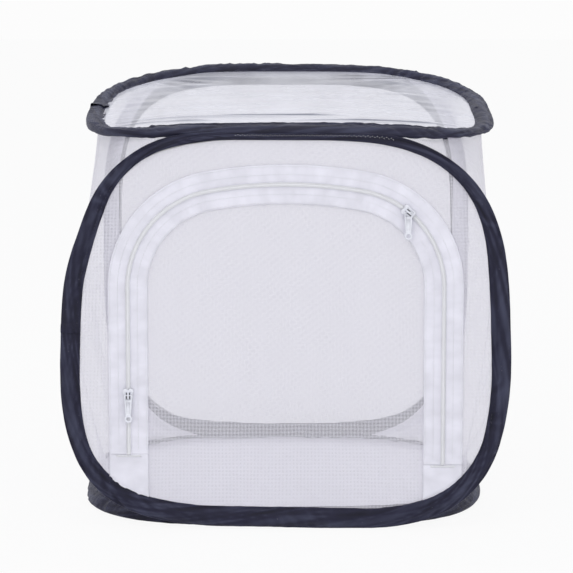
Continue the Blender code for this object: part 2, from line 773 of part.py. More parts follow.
def helper_object(name, fill):
    """A piece of a union, left out of the render."""
    shape = bmesh.new()
    fill(shape)
    bmesh.ops.recalc_face_normals(shape, faces=shape.faces)
    mesh = bpy.data.meshes.new(name)
    shape.to_mesh(mesh)
    shape.free()
    helper = bpy.data.objects.new(name, mesh)
    bpy.context.scene.collection.objects.link(helper)
    helper.hide_render = True
    helper.display_type = "WIRE"
    return helper


def slider(name, place, turn, door_side, parent):
    """A zip slider: a channel over both coils, a post between them, a plate behind the door's tape, a bridge.

    door_side is the sign of the slider's own x towards the door.
    """
    half = SLIDER_LENGTH / 2
    wall = SLIDER_TAIL / 2 * 0.92 - (ZIP_SLOT / 2 + COIL_WIDTH) - SLIDER_GAP
    back_face = TAPE_BACK - FIT_GAP
    reach = SLIDER_TAIL / 2 - FIT_GAP
    near, far = sorted((-door_side * SLIDER_POST / 2, door_side * reach))

    def shell(shape):
        slider_shell(shape, wall)

    def post(shape):
        low = (-SLIDER_POST / 2, -PLATE_BACK - SLIDER_PLATE / 2, -half * 0.4)
        box_into(shape, low, (SLIDER_POST / 2, -back_face + SLIDER_PLATE / 2, half * 0.4))

    def rear_plate(shape):
        box_into(shape, (near, -back_face, -half * 0.8), (far, -back_face + SLIDER_PLATE, half * 0.8))

    body = helper_object(name, shell)
    body.hide_render = False
    body.display_type = "TEXTURED"
    body.parent = parent
    body.location = np.asarray(place) - world_location(parent)
    body.rotation_euler = (0, turn, 0)
    body.data.materials.append(material("white_enamel"))
    for part, fill in (("post", post), ("rear_plate", rear_plate), ("bridge", bridge_into)):
        helper = helper_object(f"{name}_{part}", fill)
        helper.parent = parent
        helper.location = body.location
        helper.rotation_euler = body.rotation_euler
        join = body.modifiers.new(part, "BOOLEAN")
        join.operation = "UNION"
        join.object = helper
    return body


def pull(name, parent):
    """The pull: a tapered tab with a window round the bridge's leg and a round eye at its free end."""
    neck, waist, eye = PULL_NECK / 2, PULL_WAIST / 2, PULL_EYE / 2
    head = PULL_CROSSBAR / 2
    eye_centre = -(PULL_LENGTH - eye)
    join = math.asin(waist / eye)
    tip = arc((0, eye_centre), eye, math.pi / 2 + join, math.pi * 2.5 - join, 14)
    shoulder = -(PULL_WINDOW + PULL_CROSSBAR + PULL_SIDE_BAR)
    outline = [(neck, shoulder), (neck, head), (-neck, head), (-neck, shoulder), *tip]
    inside = neck - PULL_SIDE_BAR
    window = [(inside, -head), (-inside, -head), (-inside, -head - PULL_WINDOW), (inside, -head - PULL_WINDOW)]
    hole = arc((0, eye_centre), PULL_EYE_HOLE / 2, 0, math.tau, 10)[:-1]
    plate(name, [outline, window, hole], PULL_THICKNESS, world_location(parent), "white_enamel", parent)


def slider_and_pull(side, place, turn, door_side, door_axis):
    """A slider on its own axis empty, and its pull on an empty at the bridge."""
    travel = axis_empty(f"{side}_slider_axis", place, door_axis)
    slider(f"{side}_slider", place, turn, door_side, travel)
    lift = np.asarray(place) + np.array([0, -PULL_AXIS_DEPTH, 0])
    hinge = axis_empty(f"{side}_pull_axis", lift, travel)
    pull(f"{side}_pull", hinge)


def left_slider_place():
    return (-DOOR_WIDTH / 2, FRONT_PLANE, LEFT_SLIDER_HEIGHT)


def right_slider_place():
    _, spring, _ = arch_sizes()
    inset = DOOR_WIDTH / 2 - ARCH_CORNER
    return (
        inset + ARCH_CORNER * math.cos(RIGHT_SLIDER_ANGLE),
        FRONT_PLANE,
        spring + ARCH_CORNER * math.sin(RIGHT_SLIDER_ANGLE),
    )


# The joints' axes, and the whole


def fold_axes():
    """The front folds in over the base, the back folds out, and the top swings on the front's crest."""
    inside = HALF_THICKNESS + FIT_GAP
    front = axis_empty("front_fold_axis", (0, FRONT_PLANE + inside, SLEEVE_THICKNESS + FIT_GAP))
    back = axis_empty("back_fold_axis", (0, BACK_PLANE - FIT_GAP * 1.5, FOOT_LIFT + FIT_GAP))
    top = axis_empty("top_fold_axis", (0, FRONT_PLANE, FRONT_HEIGHT + SEAM_GAP / 2), front)
    return front, back, top


def build():
    clear_scene()
    front, back, top = fold_axes()
    hoop_set("base", None)
    hoop_set("front", front)
    hoop_set("top", top)
    hoop_set("back", back)
    floor_panel(None)
    side_wall("left_wall", -1, None)
    side_wall("right_wall", 1, None)
    back_panel(back)
    top_window(top)
    front_panel(front)
    zip_half("outer", 1, front)
    facing("left_facing", -1, LEFT_ZIP_END, front)
    facing("right_facing", 1, RIGHT_ZIP_END, front)
    bar_tack("left_bar_tack", -1, LEFT_ZIP_END, front)
    bar_tack("right_bar_tack", 1, RIGHT_ZIP_END, front)
    door = axis_empty("door_axis", (0, FRONT_PLANE - MESH_FACE, FOLD_HEIGHT), front)
    door_panel(door)
    zip_half("inner", -1, door)
    slider_and_pull("left", left_slider_place(), 0, 1, door)
    slider_and_pull("right", right_slider_place(), -RIGHT_SLIDER_ANGLE, -1, door)


build()
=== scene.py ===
"""Mesh insect cage: cloth sleeves on sprung hoops, mesh walls, a film window and a zipped door.

Laid out as a Blender add-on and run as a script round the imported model.
Metres, +X to the right, +Y to the rear, +Z up, seen from the front and a little from above.
"""

import math

import bmesh
import bpy
import numpy as np
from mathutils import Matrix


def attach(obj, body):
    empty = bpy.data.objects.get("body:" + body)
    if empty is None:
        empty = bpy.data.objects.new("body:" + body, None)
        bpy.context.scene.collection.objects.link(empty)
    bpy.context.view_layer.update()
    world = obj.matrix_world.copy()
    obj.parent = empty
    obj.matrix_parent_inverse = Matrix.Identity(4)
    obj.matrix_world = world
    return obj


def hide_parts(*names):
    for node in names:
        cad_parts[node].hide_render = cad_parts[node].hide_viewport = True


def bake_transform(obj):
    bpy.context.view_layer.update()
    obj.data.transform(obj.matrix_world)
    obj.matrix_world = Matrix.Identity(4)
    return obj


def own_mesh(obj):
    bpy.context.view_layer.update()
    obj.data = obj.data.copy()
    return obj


bl_info = {
    "name": "Mesh insect cage",
    "version": (1, 0, 0),
    "blender": (4, 5, 0),
    "location": "3D View > Sidebar > Cage",
    "description": "Sews sleeves, mesh, film and a zipped door round a pop-up cage's frame",
    "category": "Object",
}

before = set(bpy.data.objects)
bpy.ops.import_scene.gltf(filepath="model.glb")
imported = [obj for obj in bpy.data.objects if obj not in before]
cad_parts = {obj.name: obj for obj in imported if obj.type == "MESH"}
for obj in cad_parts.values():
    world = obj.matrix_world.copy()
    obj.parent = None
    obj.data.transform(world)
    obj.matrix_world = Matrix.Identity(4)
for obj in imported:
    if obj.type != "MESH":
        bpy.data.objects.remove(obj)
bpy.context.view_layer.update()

MM = 0.001

# The cage's own sizes, as in the part's source
CAGE_DEPTH = 300 * MM
FRONT_WIDTH = 319 * MM
FRONT_HEIGHT = 284 * MM
BACK_WIDTH = 300 * MM
BACK_HEIGHT = 311.5 * MM
BASE_WIDTH = 308 * MM
TOP_WIDTH = 303 * MM
FOOT_LIFT = 1.5 * MM
TOP_SAG = 9 * MM
FRONT_SQUARENESS = (3.2, 3.4)
BACK_SQUARENESS = (4.0, 3.2)
BASE_SQUARENESS = (2.8, 3.3)
TOP_SQUARENESS = (2.8, 4.5)
FRONT_TAPER = -0.035
HALF_BAND = 7.2 * MM
HALF_THICKNESS = 2.6 * MM
CREST_WIDTH = 4.4 * MM
FRONT_LEAN = math.radians(28)
REAR_LEAN = math.radians(-8)
REAR_TIP = math.radians(-20)
BASE_TIP = math.radians(62)
BASE_REAR_TIP = math.radians(38)
BASE_WIRE = 4 * MM
SEAM_GAP = 0.5 * MM
BASE_LEVEL = HALF_THICKNESS
MID_DEPTH = 1.85 * MM
FRONT_PLANE = MID_DEPTH - CAGE_DEPTH / 2
BACK_PLANE = MID_DEPTH + CAGE_DEPTH / 2
SEWN_EDGE = 0.9
WALL_GAP = 0.3 * MM
WALL_FULLNESS = 16 * MM
TOP_SEAM = 180 * MM
FOOT_SEAM = 120 * MM

# Door and zip
DOOR_WIDTH = 225 * MM
ARCH_TOP = 249 * MM
ARCH_CORNER = 70 * MM
ARCH_CORNER_SWEEP = math.radians(80)
FOLD_HEIGHT = 41 * MM
LEFT_ZIP_END = 53.2 * MM
RIGHT_ZIP_END = 45.5 * MM
ZIP_SLOT = 0.8 * MM
TAPE_WIDTH = 13.6 * MM
TAPE_BACK = 0.6 * MM
TAPE_FACE = 1.2 * MM
COIL_FACE = 2.8 * MM
LEFT_SLIDER_HEIGHT = 98 * MM
RIGHT_SLIDER_ANGLE = math.radians(51)
FACING_REACH = 98.5 * MM
DOORWAY_HUB = 140 * MM  # height of the point that the front panel's rows spread from
ZIP_LAP = 9 * MM
DOOR_LAP = 10 * MM
COIL_RADIUS = 0.29 * MM
COIL_HEAD = -0.35 * MM
COIL_ROOT = 1.5 * MM
TACK_REACH = 8.8 * MM
TACK_RISE = 0.8 * MM
ZIP_FOOT = 0.9 * MM  # from the facing's top to the tape's end
TAPE_ROWS = (7.0 * MM, 12.7 * MM)  # stitches, out from the zip's line

# A slider's own depths in front of the panel, in millimetres
SHELL_BACK = 1.5
PLATE_BACK = 3.1
PLATE_FACE = 4.0

# How the sleeves and panels are sewn. Places across a band run from -1 inside to 1 outside
BASE_SHIFT = 2.2 * MM
GROOVE_ACROSS = -0.42
STITCHES_ACROSS = -0.62
SLEEVE_STATIONS = 900
SLEEVE_AROUND = 40
LAPS = {"base": 5 * MM, "front": 6 * MM, "top": 7 * MM, "back": 5 * MM}
SEEDS = {"base": 3, "front": 11, "top": 23, "back": 31}
LINE_STEPS = 2881  # points on a hoop's line when its length is measured
PANEL_TUCK = 2.5 * MM  # how far a panel's edge reaches under its sleeve
FILM_TUCK = 2.0 * MM
PANEL_BIAS = math.radians(43)
FLOOR_CLEARANCE = 0.04 * MM

# How sharply the cloth bends, in 1/m, where its wrinkles are at their strongest
TIGHT_BEND = 18
EASED_BEND = 12

# How the cloth has settled on its wires: everywhere, then bows at some angles round each ring, each
# as (degrees, spread in degrees, millimetres outwards). NARROWED is the band's width, as a share,
# written the same way
BOWS = {
    "base": (0.0, ((0, 38, -0.6), (180, 38, -0.4))),
    "front": (
        0.9,
        (
            (-57, 17, 3.4), (-27, 10, -1.2), (-133, 12, 1.6), (-100, 10, -0.6), (42, 20, 2.0),
            (123, 9, 2.6), (62, 10, 1.2), (111, 9, 1.4), (151, 12, -4.3),
        ),
    ),
    "top": (0.0, ((-141, 13, -2.6), (125, 14, -1.2), (55, 14, -1.0))),
    "back": (0.0, ((-132, 14, 8.5), (-48, 14, 7.0), (-90, 40, 1.0))),
}
NARROWED = {
    "base": (0.95, ()),
    "front": (
        0.93,
        (
            (-90, 40, 0.06), (-36, 12, -0.1), (-144, 12, -0.1),
            (35, 13, -0.12), (63, 9, 0.4), (117, 9, 0.4),
        ),
    ),
    "top": (0.93, ((60, 25, 0.08), (120, 25, 0.08))),
    "back": (0.98, ()),
}


# Sizes and colours that a user would change


def number(name, description, default, **kind):
    return bpy.props.FloatProperty(name=name, description=description, default=default, **kind)


def length(name, description, default):
    return number(name, description, default, unit="LENGTH")


def colour(name, description, value):
    return bpy.props.FloatVectorProperty(
        name=name, description=description, default=value, subtype="COLOR", size=3, min=0, max=1
    )


class CageSizes(bpy.types.PropertyGroup):
    cloth: length("Sleeve cloth", "Thickness of the sleeves' cloth", 0.35 * MM)
    wrinkle: length("Sleeve wrinkles", "Height of the sleeves' wrinkles", 0.8 * MM)
    mesh_pitch: length("Mesh pitch", "Distance between two threads of the mesh", 1.0 * MM)
    mesh_cover: number("Mesh cover", "Share of the mesh that is thread", 0.58, subtype="FACTOR")
    coil_pitch: length("Coil pitch", "Distance between two turns of the zip's coil", 0.8 * MM)
    stitch: length("Stitch", "Length of one stitch", 2.6 * MM)
    crease: length("Film crease", "Depth of the creases in the film", 0.7 * MM)


class CageColours(bpy.types.PropertyGroup):
    navy: colour("Navy cloth", "Colour of the sleeves", (0.0155, 0.0152, 0.0350))
    navy_thread: colour("Navy thread", "Colour of the sleeves' stitches", (0.030, 0.031, 0.060))
    mesh: colour("Mesh", "Colour of the mesh's threads", (0.815, 0.80, 0.87))
    film: colour("Film", "Colour of the clear film", (0.76, 0.765, 0.87))
    tape: colour("Zip tape", "Colour of the zip's tape and facings", (0.815, 0.805, 0.885))
    thread: colour("White thread", "Colour of the white stitches", (0.88, 0.88, 0.92))
    coil: colour("Zip coil", "Colour of the nylon coil", (0.92, 0.92, 0.95))
    enamel: colour("Slider enamel", "Colour of the sliders and pulls", (0.82, 0.83, 0.90))
    spring: colour("Spring steel", "Colour of the hoops' wire", (0.42, 0.42, 0.44))
    zinc: colour("Zinc", "Colour of the ferrules", (0.62, 0.62, 0.63))


class StageSettings(bpy.types.PropertyGroup):
    distance: length("Camera distance", "From the camera to the cage's front", 1.84)
    height: length("Camera height", "Of the camera above the floor", 0.456)
    pitch: number(
        "Camera pitch", "How far the camera looks down", math.radians(8.655), subtype="ANGLE"
    )
    lens: number("Lens", "Focal length in millimetres", 164.6)
    key: number("Key light", "Power of the large lamp over the front", 13, unit="POWER")
    fill: number("Fill light", "Power of the lamp at the side", 3, unit="POWER")
    sky: number("Room light", "Strength of the light from all round", 0.87)


# Shape helpers


def noise(seed, u, v):
    """Smooth relief from -1 to 1 over (u, v), the same each run, one unit between its knots."""

    def knot(i, j):
        mixed = np.sin(i * 127.1 + j * 311.7 + seed * 74.7) * 43758.5453
        return 2 * (mixed - np.floor(mixed)) - 1

    u, v = np.broadcast_arrays(np.asarray(u, float), np.asarray(v, float))
    i, j = np.floor(u), np.floor(v)
    a, b = u - i, v - j
    a, b = a * a * (3 - 2 * a), b * b * (3 - 2 * b)
    low = knot(i, j) * (1 - a) + knot(i + 1, j) * a
    high = knot(i, j + 1) * (1 - a) + knot(i + 1, j + 1) * a
    return low * (1 - b) + high * b


def clamp(values):
    return np.clip(values, 0, 1)


def bump(t, centre, width):
    """A smooth hill of height 1."""
    return np.exp(-(((t - centre) / width) ** 2))


def unit(vectors):
    return vectors / np.linalg.norm(vectors, axis=-1, keepdims=True)


def run_length(points):
    """Distance along a line of points, from its first one."""
    steps = np.linalg.norm(np.diff(points, axis=0), axis=1)
    return np.concatenate([[0], np.cumsum(steps)])

def at_distances(values, run, where):
    """What lies along a line, points or directions, at these distances along it."""
    return np.stack([np.interp(where, run, column) for column in values.T], axis=1)


def resample(points, count):
    """The same line with this many points, evenly spaced along it."""
    points = np.asarray(points, float)
    run = run_length(points)
    return at_distances(points, run, np.linspace(0, run[-1], count))


def deselect_all():
    for obj in bpy.context.selected_objects:
        obj.select_set(False)


def select_only(obj):
    deselect_all()
    obj.select_set(True)
    bpy.context.view_layer.objects.active = obj


def mesh_piece(name, points, faces, cloth, uv=None):
    """A new object from world points; uv gives one (u, v) in metres for each point."""
    mesh = bpy.data.meshes.new(name)
    mesh.from_pydata(np.asarray(points).tolist(), [], faces)
    if uv is not None:
        layer = mesh.uv_layers.new(name="cloth")
        corner = np.zeros(len(mesh.loops), dtype=np.int32)
        mesh.loops.foreach_get("vertex_index", corner)
        layer.data.foreach_set("uv", np.asarray(uv, dtype=np.float32)[corner].ravel())
    mesh.validate()
    mesh.shade_smooth()
    mesh.materials.append(finish(cloth))
    obj = bpy.data.objects.new(name, mesh)
    bpy.context.scene.collection.objects.link(obj)
    return obj


def grid_faces(rows, columns, wrap=False, flip=False):
    """Quads of a grid numbered row by row; wrap joins the last column to the first."""
    last = columns if wrap else columns - 1
    i, j = np.meshgrid(np.arange(rows - 1), np.arange(last), indexing="ij")
    low, high, k = i * columns, (i + 1) * columns, (j + 1) % columns
    quads = np.stack([low + j, low + k, high + k, high + j], axis=-1).reshape(-1, 4)
    return (quads[:, ::-1] if flip else quads).tolist()


def grid_piece(name, grid, cloth, uv, wrap=False, flip=False):
    faces = grid_faces(*grid.shape[:2], wrap, flip)
    return mesh_piece(name, grid.reshape(-1, 3), faces, cloth, uv.reshape(-1, 2))


def point_values(obj, name, values):
    """Gives each point a value that a finish reads."""
    layer = obj.data.attributes.new(name, "FLOAT", "POINT")
    layer.data.foreach_set("value", np.asarray(values, dtype=np.float32).ravel())


def apply_modifier(obj, kind, **settings):
    modifier = obj.modifiers.new(kind.lower(), kind)
    for key, value in settings.items():
        setattr(modifier, key, value)
    select_only(obj)
    bpy.ops.object.modifier_apply(modifier=modifier.name)


def thicken(obj, thickness, offset):
    """Gives a sheet its thickness: offset -1 puts it behind the faces, 0 on both sides."""
    apply_modifier(obj, "SOLIDIFY", thickness=thickness, offset=offset, use_even_offset=False)


def edit_mesh(obj, change):
    """Lets a function change an object's mesh."""
    shape = bmesh.new()
    shape.from_mesh(obj.data)
    change(shape)
    shape.to_mesh(obj.data)
    shape.free()


def close_poles(obj):
    """Merges the points that coincide where rows shrink to nothing."""

    def merge(shape):
        bmesh.ops.remove_doubles(shape, verts=shape.verts, dist=0.02 * MM)
        bmesh.ops.dissolve_degenerate(shape, dist=0.01 * MM, edges=shape.edges)

    edit_mesh(obj, merge)


def face_outwards(obj):
    """Points every face of a closed mesh outwards."""
    edit_mesh(obj, lambda shape: bmesh.ops.recalc_face_normals(shape, faces=shape.faces))


def keep_above_floor(obj):
    for vertex in obj.data.vertices:
        vertex.co.z = max(vertex.co.z, FLOOR_CLEARANCE)


def fit(piece, body, replaced=None):
    """Puts a finished piece on its body and in place of its solid."""
    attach(piece, body)
    if replaced:
        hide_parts(replaced)


# Hoop lines, as in the part's source


def rounded_square(angles, half_width, half_height, squareness):
    across, up = np.cos(angles), np.sin(angles)
    power = np.where(up > 0, squareness[0], squareness[1])
    radius = (np.abs(across) ** power + np.abs(up) ** power) ** (-1 / power)
    return half_width * radius * across, half_height * radius * up


def front_line(angles):
    low = FOOT_LIFT + HALF_BAND
    high = FRONT_HEIGHT - CREST_WIDTH / 2
    half_height = (high - low) / 2
    x, z = rounded_square(angles, FRONT_WIDTH / 2 - HALF_BAND, half_height, FRONT_SQUARENESS)
    x = x * (1 + FRONT_TAPER * z / half_height)
    return np.stack([x, np.full_like(x, FRONT_PLANE), z + (high + low) / 2], axis=-1)


def back_line(angles):
    low = FOOT_LIFT + HALF_BAND
    high = BACK_HEIGHT - HALF_BAND
    x, z = rounded_square(angles, BACK_WIDTH / 2 - HALF_BAND, (high - low) / 2, BACK_SQUARENESS)
    return np.stack([x, np.full_like(x, BACK_PLANE), z + (high + low) / 2], axis=-1)


def base_line(angles):
    slope = HALF_THICKNESS / (HALF_BAND / 2)
    setback = (BASE_LEVEL - FOOT_LIFT) * slope + SEAM_GAP * math.hypot(1, slope)
    half_depth = CAGE_DEPTH / 2 - setback - HALF_BAND
    x, y = rounded_square(angles, BASE_WIDTH / 2 - HALF_BAND, half_depth, BASE_SQUARENESS)
    return np.stack([x, y + MID_DEPTH, np.full_like(x, BASE_LEVEL)], axis=-1)


def top_ends():
    front = (
        FRONT_PLANE + HALF_BAND * math.cos(FRONT_LEAN),
        FRONT_HEIGHT + SEAM_GAP + HALF_BAND * math.sin(FRONT_LEAN),
    )
    rear = (
        BACK_PLANE - HALF_BAND * math.cos(REAR_LEAN),
        BACK_HEIGHT + SEAM_GAP + HALF_BAND * math.sin(REAR_LEAN),
    )
    return front, rear


def top_height(x, y):
    front, rear = top_ends()
    share = (y - front[0]) / (rear[0] - front[0])
    droop = TOP_SAG * (np.abs(x) / (TOP_WIDTH / 2 - HALF_BAND)) ** 3
    return front[1] + share * (rear[1] - front[1]) - droop


def top_line(angles):
    front, rear = top_ends()
    half_depth = (rear[0] - front[0]) / 2
    x, y = rounded_square(angles, TOP_WIDTH / 2 - HALF_BAND, half_depth, TOP_SQUARENESS)
    y = y + (front[0] + rear[0]) / 2
    return np.stack([x, y, top_height(x, y)], axis=-1)


def full_band(points):
    return np.full(len(points), HALF_BAND)


def front_band(points):
    middle = (FRONT_HEIGHT + FOOT_LIFT) / 2
    rise = clamp((points[:, 2] - middle) / (FRONT_HEIGHT - middle))
    return HALF_BAND - (HALF_BAND - CREST_WIDTH / 2) * rise**3


def no_lean(outward):
    return np.zeros(len(outward))


def base_lean(outward):
    """The base's band has tipped up on its outer edge, with its wire low down in it."""
    return BASE_TIP + (BASE_REAR_TIP - BASE_TIP) * clamp(outward[:, 1] * 1.5) ** 2


def top_lean(outward):
    """Dips at the front seam, less so at its left corner, and tips up towards the rear seam."""
    forward = clamp(-outward[:, 1])
    rearward = clamp(outward[:, 1])
    left = clamp(-outward[:, 0] * 1.6)
    return FRONT_LEAN * forward ** (2 + 6 * left) + REAR_TIP * rearward**0.9


def bowed(angles, everywhere, bows):
    """A base value plus a smooth hill or dip at some angles round a ring."""
    total = np.full(len(angles), float(everywhere))
    for middle, spread, height in bows:
        away = (np.degrees(angles) - middle + 180) % 360 - 180
        total += height * bump(away, 0, spread)
    return total


def ring_directions(line, facing, angles):
    """Directions along a hoop's line and outwards from it."""
    along = unit(line(angles + 1e-4) - line(angles - 1e-4))
    return along, unit(np.cross(along, np.array(facing, float)))


def settled(hoop):
    """The line of a sleeve's middle: its wire's line, moved as the cloth has settled on it."""

    def line(angles):
        wire, facing = WIRES[hoop]
        points = wire(angles)
        outward = ring_directions(wire, facing, angles)[1]
        points = points + MM * bowed(angles, *BOWS[hoop])[:, None] * outward
        if hoop == "base":
            points[:, 0] -= BASE_SHIFT
            tip = base_lean(outward)[:, None]
            points -= BASE_WIRE * np.cos(tip) * outward
            points[:, 2:] += BASE_WIRE * np.sin(tip)
        if hoop == "top":
            rearward = clamp((points[:, 1] - FRONT_PLANE) / CAGE_DEPTH)
            points[:, 0] += (2.2 + 1.7 * rearward) * MM
            points[:, 2] -= 0.7 * MM * rearward**2
            points[:, 2] -= 1.1 * MM * (1 - rearward) ** 3 * clamp(points[:, 0] / 0.1)
        if hoop == "front":
            points[:, 2] = np.maximum(points[:, 2], HALF_BAND + 0.1 * MM)
        return points

    return line


# Line of the wire, and direction that the hoop faces
WIRES = {
    "base": (base_line, (0, 0, 1)),
    "front": (front_line, (0, -1, 0)),
    "top": (top_line, (0, 0, 1)),
    "back": (back_line, (0, -1, 0)),
}

# Middle line, half-width of the band, lean of the band, which side of the band looks into the cage,
# and how far out across it the side walls are sewn halfway along
HOOPS = {
    "base": (settled("base"), full_band, base_lean, -1, -0.8),
    "front": (settled("front"), front_band, no_lean, -1, 0.9),
    "top": (settled("top"), full_band, top_lean, -1, -0.4),
    "back": (settled("back"), full_band, no_lean, 1, -0.9),
}


def hoop_frames(hoop, angles):
    """Centre, directions out across the band and through it, and half-width, at each angle."""
    line, band, lean = HOOPS[hoop][:3]
    centre = line(angles)
    along, outward = ring_directions(line, WIRES[hoop][1], angles)
    through = np.cross(outward, along)
    tip = lean(outward)[:, None]
    leaned = np.cos(tip) * outward - np.sin(tip) * through
    through = np.sin(tip) * outward + np.cos(tip) * through
    return centre, leaned, through, band(centre) * bowed(angles, *NARROWED[hoop])


def even_angles(line, first, last, count):
    """Angles at even distances along a hoop's line."""
    fine = np.linspace(first, last, LINE_STEPS)
    run = run_length(line(fine))
    return np.interp(np.linspace(0, run[-1], count), run, fine)


# Finishes


class Nodes:
    """Adds nodes to a material or a world, and returns the new node's output."""

    def __init__(self, owner):
        owner.use_nodes = True
        self.tree = owner.node_tree

    def fill(self, socket, value):
        """Sets a socket to a value, or links it to another socket."""
        if isinstance(value, bpy.types.NodeSocket):
            self.tree.links.new(value, socket)
        else:
            socket.default_value = value

    def add(self, kind, **settings):
        """A new node; a setting named in_N fills its input N."""
        made = self.tree.nodes.new(kind)
        for key, value in settings.items():
            if not key.startswith("in_"):
                setattr(made, key, value)
        for key, value in settings.items():
            if key.startswith("in_"):
                self.fill(made.inputs[int(key[3:])], value)
        return made

    def math(self, operation, *values):
        inputs = {f"in_{k}": value for k, value in enumerate(values)}
        return self.add("ShaderNodeMath", operation=operation, **inputs).outputs[0]

    def mix(self, share, first, second):
        """One colour turning into another; each is three numbers or a socket."""
        made = self.add("ShaderNodeMix", data_type="RGBA", in_0=share)
        for socket, tint in zip(made.inputs[6:8], (first, second)):
            self.fill(socket, tint if isinstance(tint, bpy.types.NodeSocket) else (*tint, 1))
        return made.outputs[2]

    def span(self, value, low, high, to_low, to_high, kind="LINEAR"):
        """A value carried over from one range to another."""
        made = self.add(
            "ShaderNodeMapRange", interpolation_type=kind,
            in_0=value, in_1=low, in_2=high, in_3=to_low, in_4=to_high,
        )
        return made.outputs[0]

    def noise(self, place, scale, detail, stretch=None):
        if stretch:
            place = self.add("ShaderNodeMapping", in_0=place, in_3=stretch).outputs[0]
        return self.add("ShaderNodeTexNoise", in_0=place, in_2=scale, in_3=detail).outputs[0]

    def ridge(self, coordinate, pitch, phase=0.0):
        """A cosine along a coordinate, one wave to each pitch."""
        return self.math("COSINE", self.math("MULTIPLY_ADD", coordinate, math.tau / pitch, phase))

    def weave(self, u, v, pitch):
        """Height of a plain weave: warp and weft threads pass over each other in turn."""
        over = self.math("MULTIPLY", self.ridge(u, pitch * 2, 0.4), self.ridge(v, pitch * 2, 0.4))
        over = self.span(over, -0.2, 0.2, 0, 1)
        warp, weft = self.ridge(u, pitch), self.ridge(v, pitch)
        made = self.add("ShaderNodeMix", data_type="FLOAT", in_0=over, in_2=warp, in_3=weft)
        return made.outputs[0]

    def attribute(self, name):
        return self.add("ShaderNodeAttribute", attribute_name=name).outputs["Fac"]

    def object_place(self):
        return self.add("ShaderNodeTexCoord").outputs["Object"]

    def cloth_place(self):
        """(u, v) in metres on the cloth, as separate sockets, and the vector."""
        uv = self.add("ShaderNodeUVMap", uv_map="cloth").outputs[0]
        parts = self.add("ShaderNodeSeparateXYZ", in_0=uv)
        return parts.outputs[0], parts.outputs[1], uv

    def seen_directly(self):
        """1 for rays from the camera, and for those that gloss or glass turns aside."""
        rays = self.add("ShaderNodeLightPath").outputs
        seen = self.math("MAXIMUM", rays["Is Camera Ray"], rays["Is Glossy Ray"])
        return self.math("MAXIMUM", seen, rays["Is Transmission Ray"])


class Finish(Nodes):
    """A Principled material with its plain values set on the shader's own sockets."""

    def __init__(self, name, tint, roughness, **sockets):
        self.material = bpy.data.materials.new(name)
        super().__init__(self.material)
        self.material.diffuse_color = (*tint, 1)
        self.shader = self.tree.nodes["Principled BSDF"]
        self.feed("Base Color", (*tint, 1))
        self.feed("Roughness", roughness)
        for socket, value in sockets.items():
            self.feed(socket.replace("_", " "), value)

    def feed(self, socket, value):
        self.fill(self.shader.inputs[socket], value)

    def vary(self, socket, noise, low, high):
        """Lets a noise's middle range carry a socket from one value to another."""
        self.feed(socket, self.span(noise, 0.3, 0.7, low, high))

    def emboss(self, height, strength, distance):
        """Relief on the surface; returns the normal."""
        made = self.add("ShaderNodeBump", in_0=strength, in_1=distance)
        self.fill(made.inputs["Height"], height)
        self.feed("Normal", made.outputs[0])
        return made.outputs[0]


def scaled(tint, factor):
    return tuple(min(1, c * factor) for c in tint)


def navy_cloth_finish(colours):
    """Woven cloth with specks of lint, and painted light: a pale bluish painted highlight on its
    crests, and painted shade in its hollows, its groove and on its flange.
    """
    base = tuple(colours.navy)
    made = Finish(
        "navy_cloth", base, 0.5, Specular_IOR_Level=0.2, Sheen_Weight=0.09, Sheen_Roughness=0.4,
        Sheen_Tint=(0.45, 0.5, 0.85, 1),
    )
    u, v, uv = made.cloth_place()
    crest = made.attribute("crest")
    patches = made.noise(uv, 55, 3)
    lint = made.span(made.noise(uv, 900, 1), 0.74, 0.80, 0, 0.55)
    shine = tuple(c * k for c, k in zip(base, (3.3, 3.6, 2.7)))
    tone = made.mix(patches, scaled(base, 0.8), scaled(base, 1.35))
    # Painted highlight where crest is high, painted shade where it is low
    tone = made.mix(made.span(crest, 0.5, 1.0, 0, 1), tone, shine)
    tone = made.mix(made.span(crest, 0.5, 0.0, 0, 1), tone, scaled(base, 0.5))
    made.feed("Base Color", made.mix(lint, tone, (0.16, 0.16, 0.2)))
    made.vary("Roughness", patches, 0.42, 0.58)
    crumple = made.noise(uv, 260, 3, (1, 0.45, 1))
    height = made.math("MULTIPLY_ADD", crumple, 3.0, made.weave(u, v, 0.42 * MM))
    made.emboss(height, 0.55, 0.06 * MM)
    return made.material


def mesh_finish(name, sizes, colours, open_hole, tint=1.0):
    """Fine woven mesh: threads with open holes between them, closed where the cloth is gathered."""
    base = scaled(colours.mesh, tint)
    made = Finish(name, base, 0.8, Specular_IOR_Level=0.25, Sheen_Weight=0.1)
    u, v, uv = made.cloth_place()
    drift = made.math("MULTIPLY", made.math("SUBTRACT", made.noise(uv, 22, 1), 0.5), 0.9 * MM)
    half_thread = 1 - math.sqrt(1 - sizes.mesh_cover)
    edge = math.cos(math.pi * half_thread)
    threads = []
    for place in (u, v):
        wave = made.ridge(made.math("ADD", place, drift), sizes.mesh_pitch)
        threads.append(made.span(wave, edge - 0.3, edge + 0.3, 0, 1, "SMOOTHSTEP"))
    thread = made.math("MAXIMUM", *threads)
    density = made.noise(uv, 18, 3, (1, 0.25, 1))
    patchy = made.span(density, 0.3, 0.7, 0.96, 1.0)
    cover = made.math("MULTIPLY", made.span(thread, 0, 1, open_hole, 0.95), patchy)
    made.feed("Alpha", made.math("MAXIMUM", cover, made.attribute("gathered")))
    made.feed("Base Color", made.mix(density, scaled(base, 0.98), scaled(base, 1.015)))
    made.feed("Roughness", made.span(thread, 0, 1, 0.9, 0.72))
    made.emboss(thread, 0.5, 0.08 * MM)
    return made.material


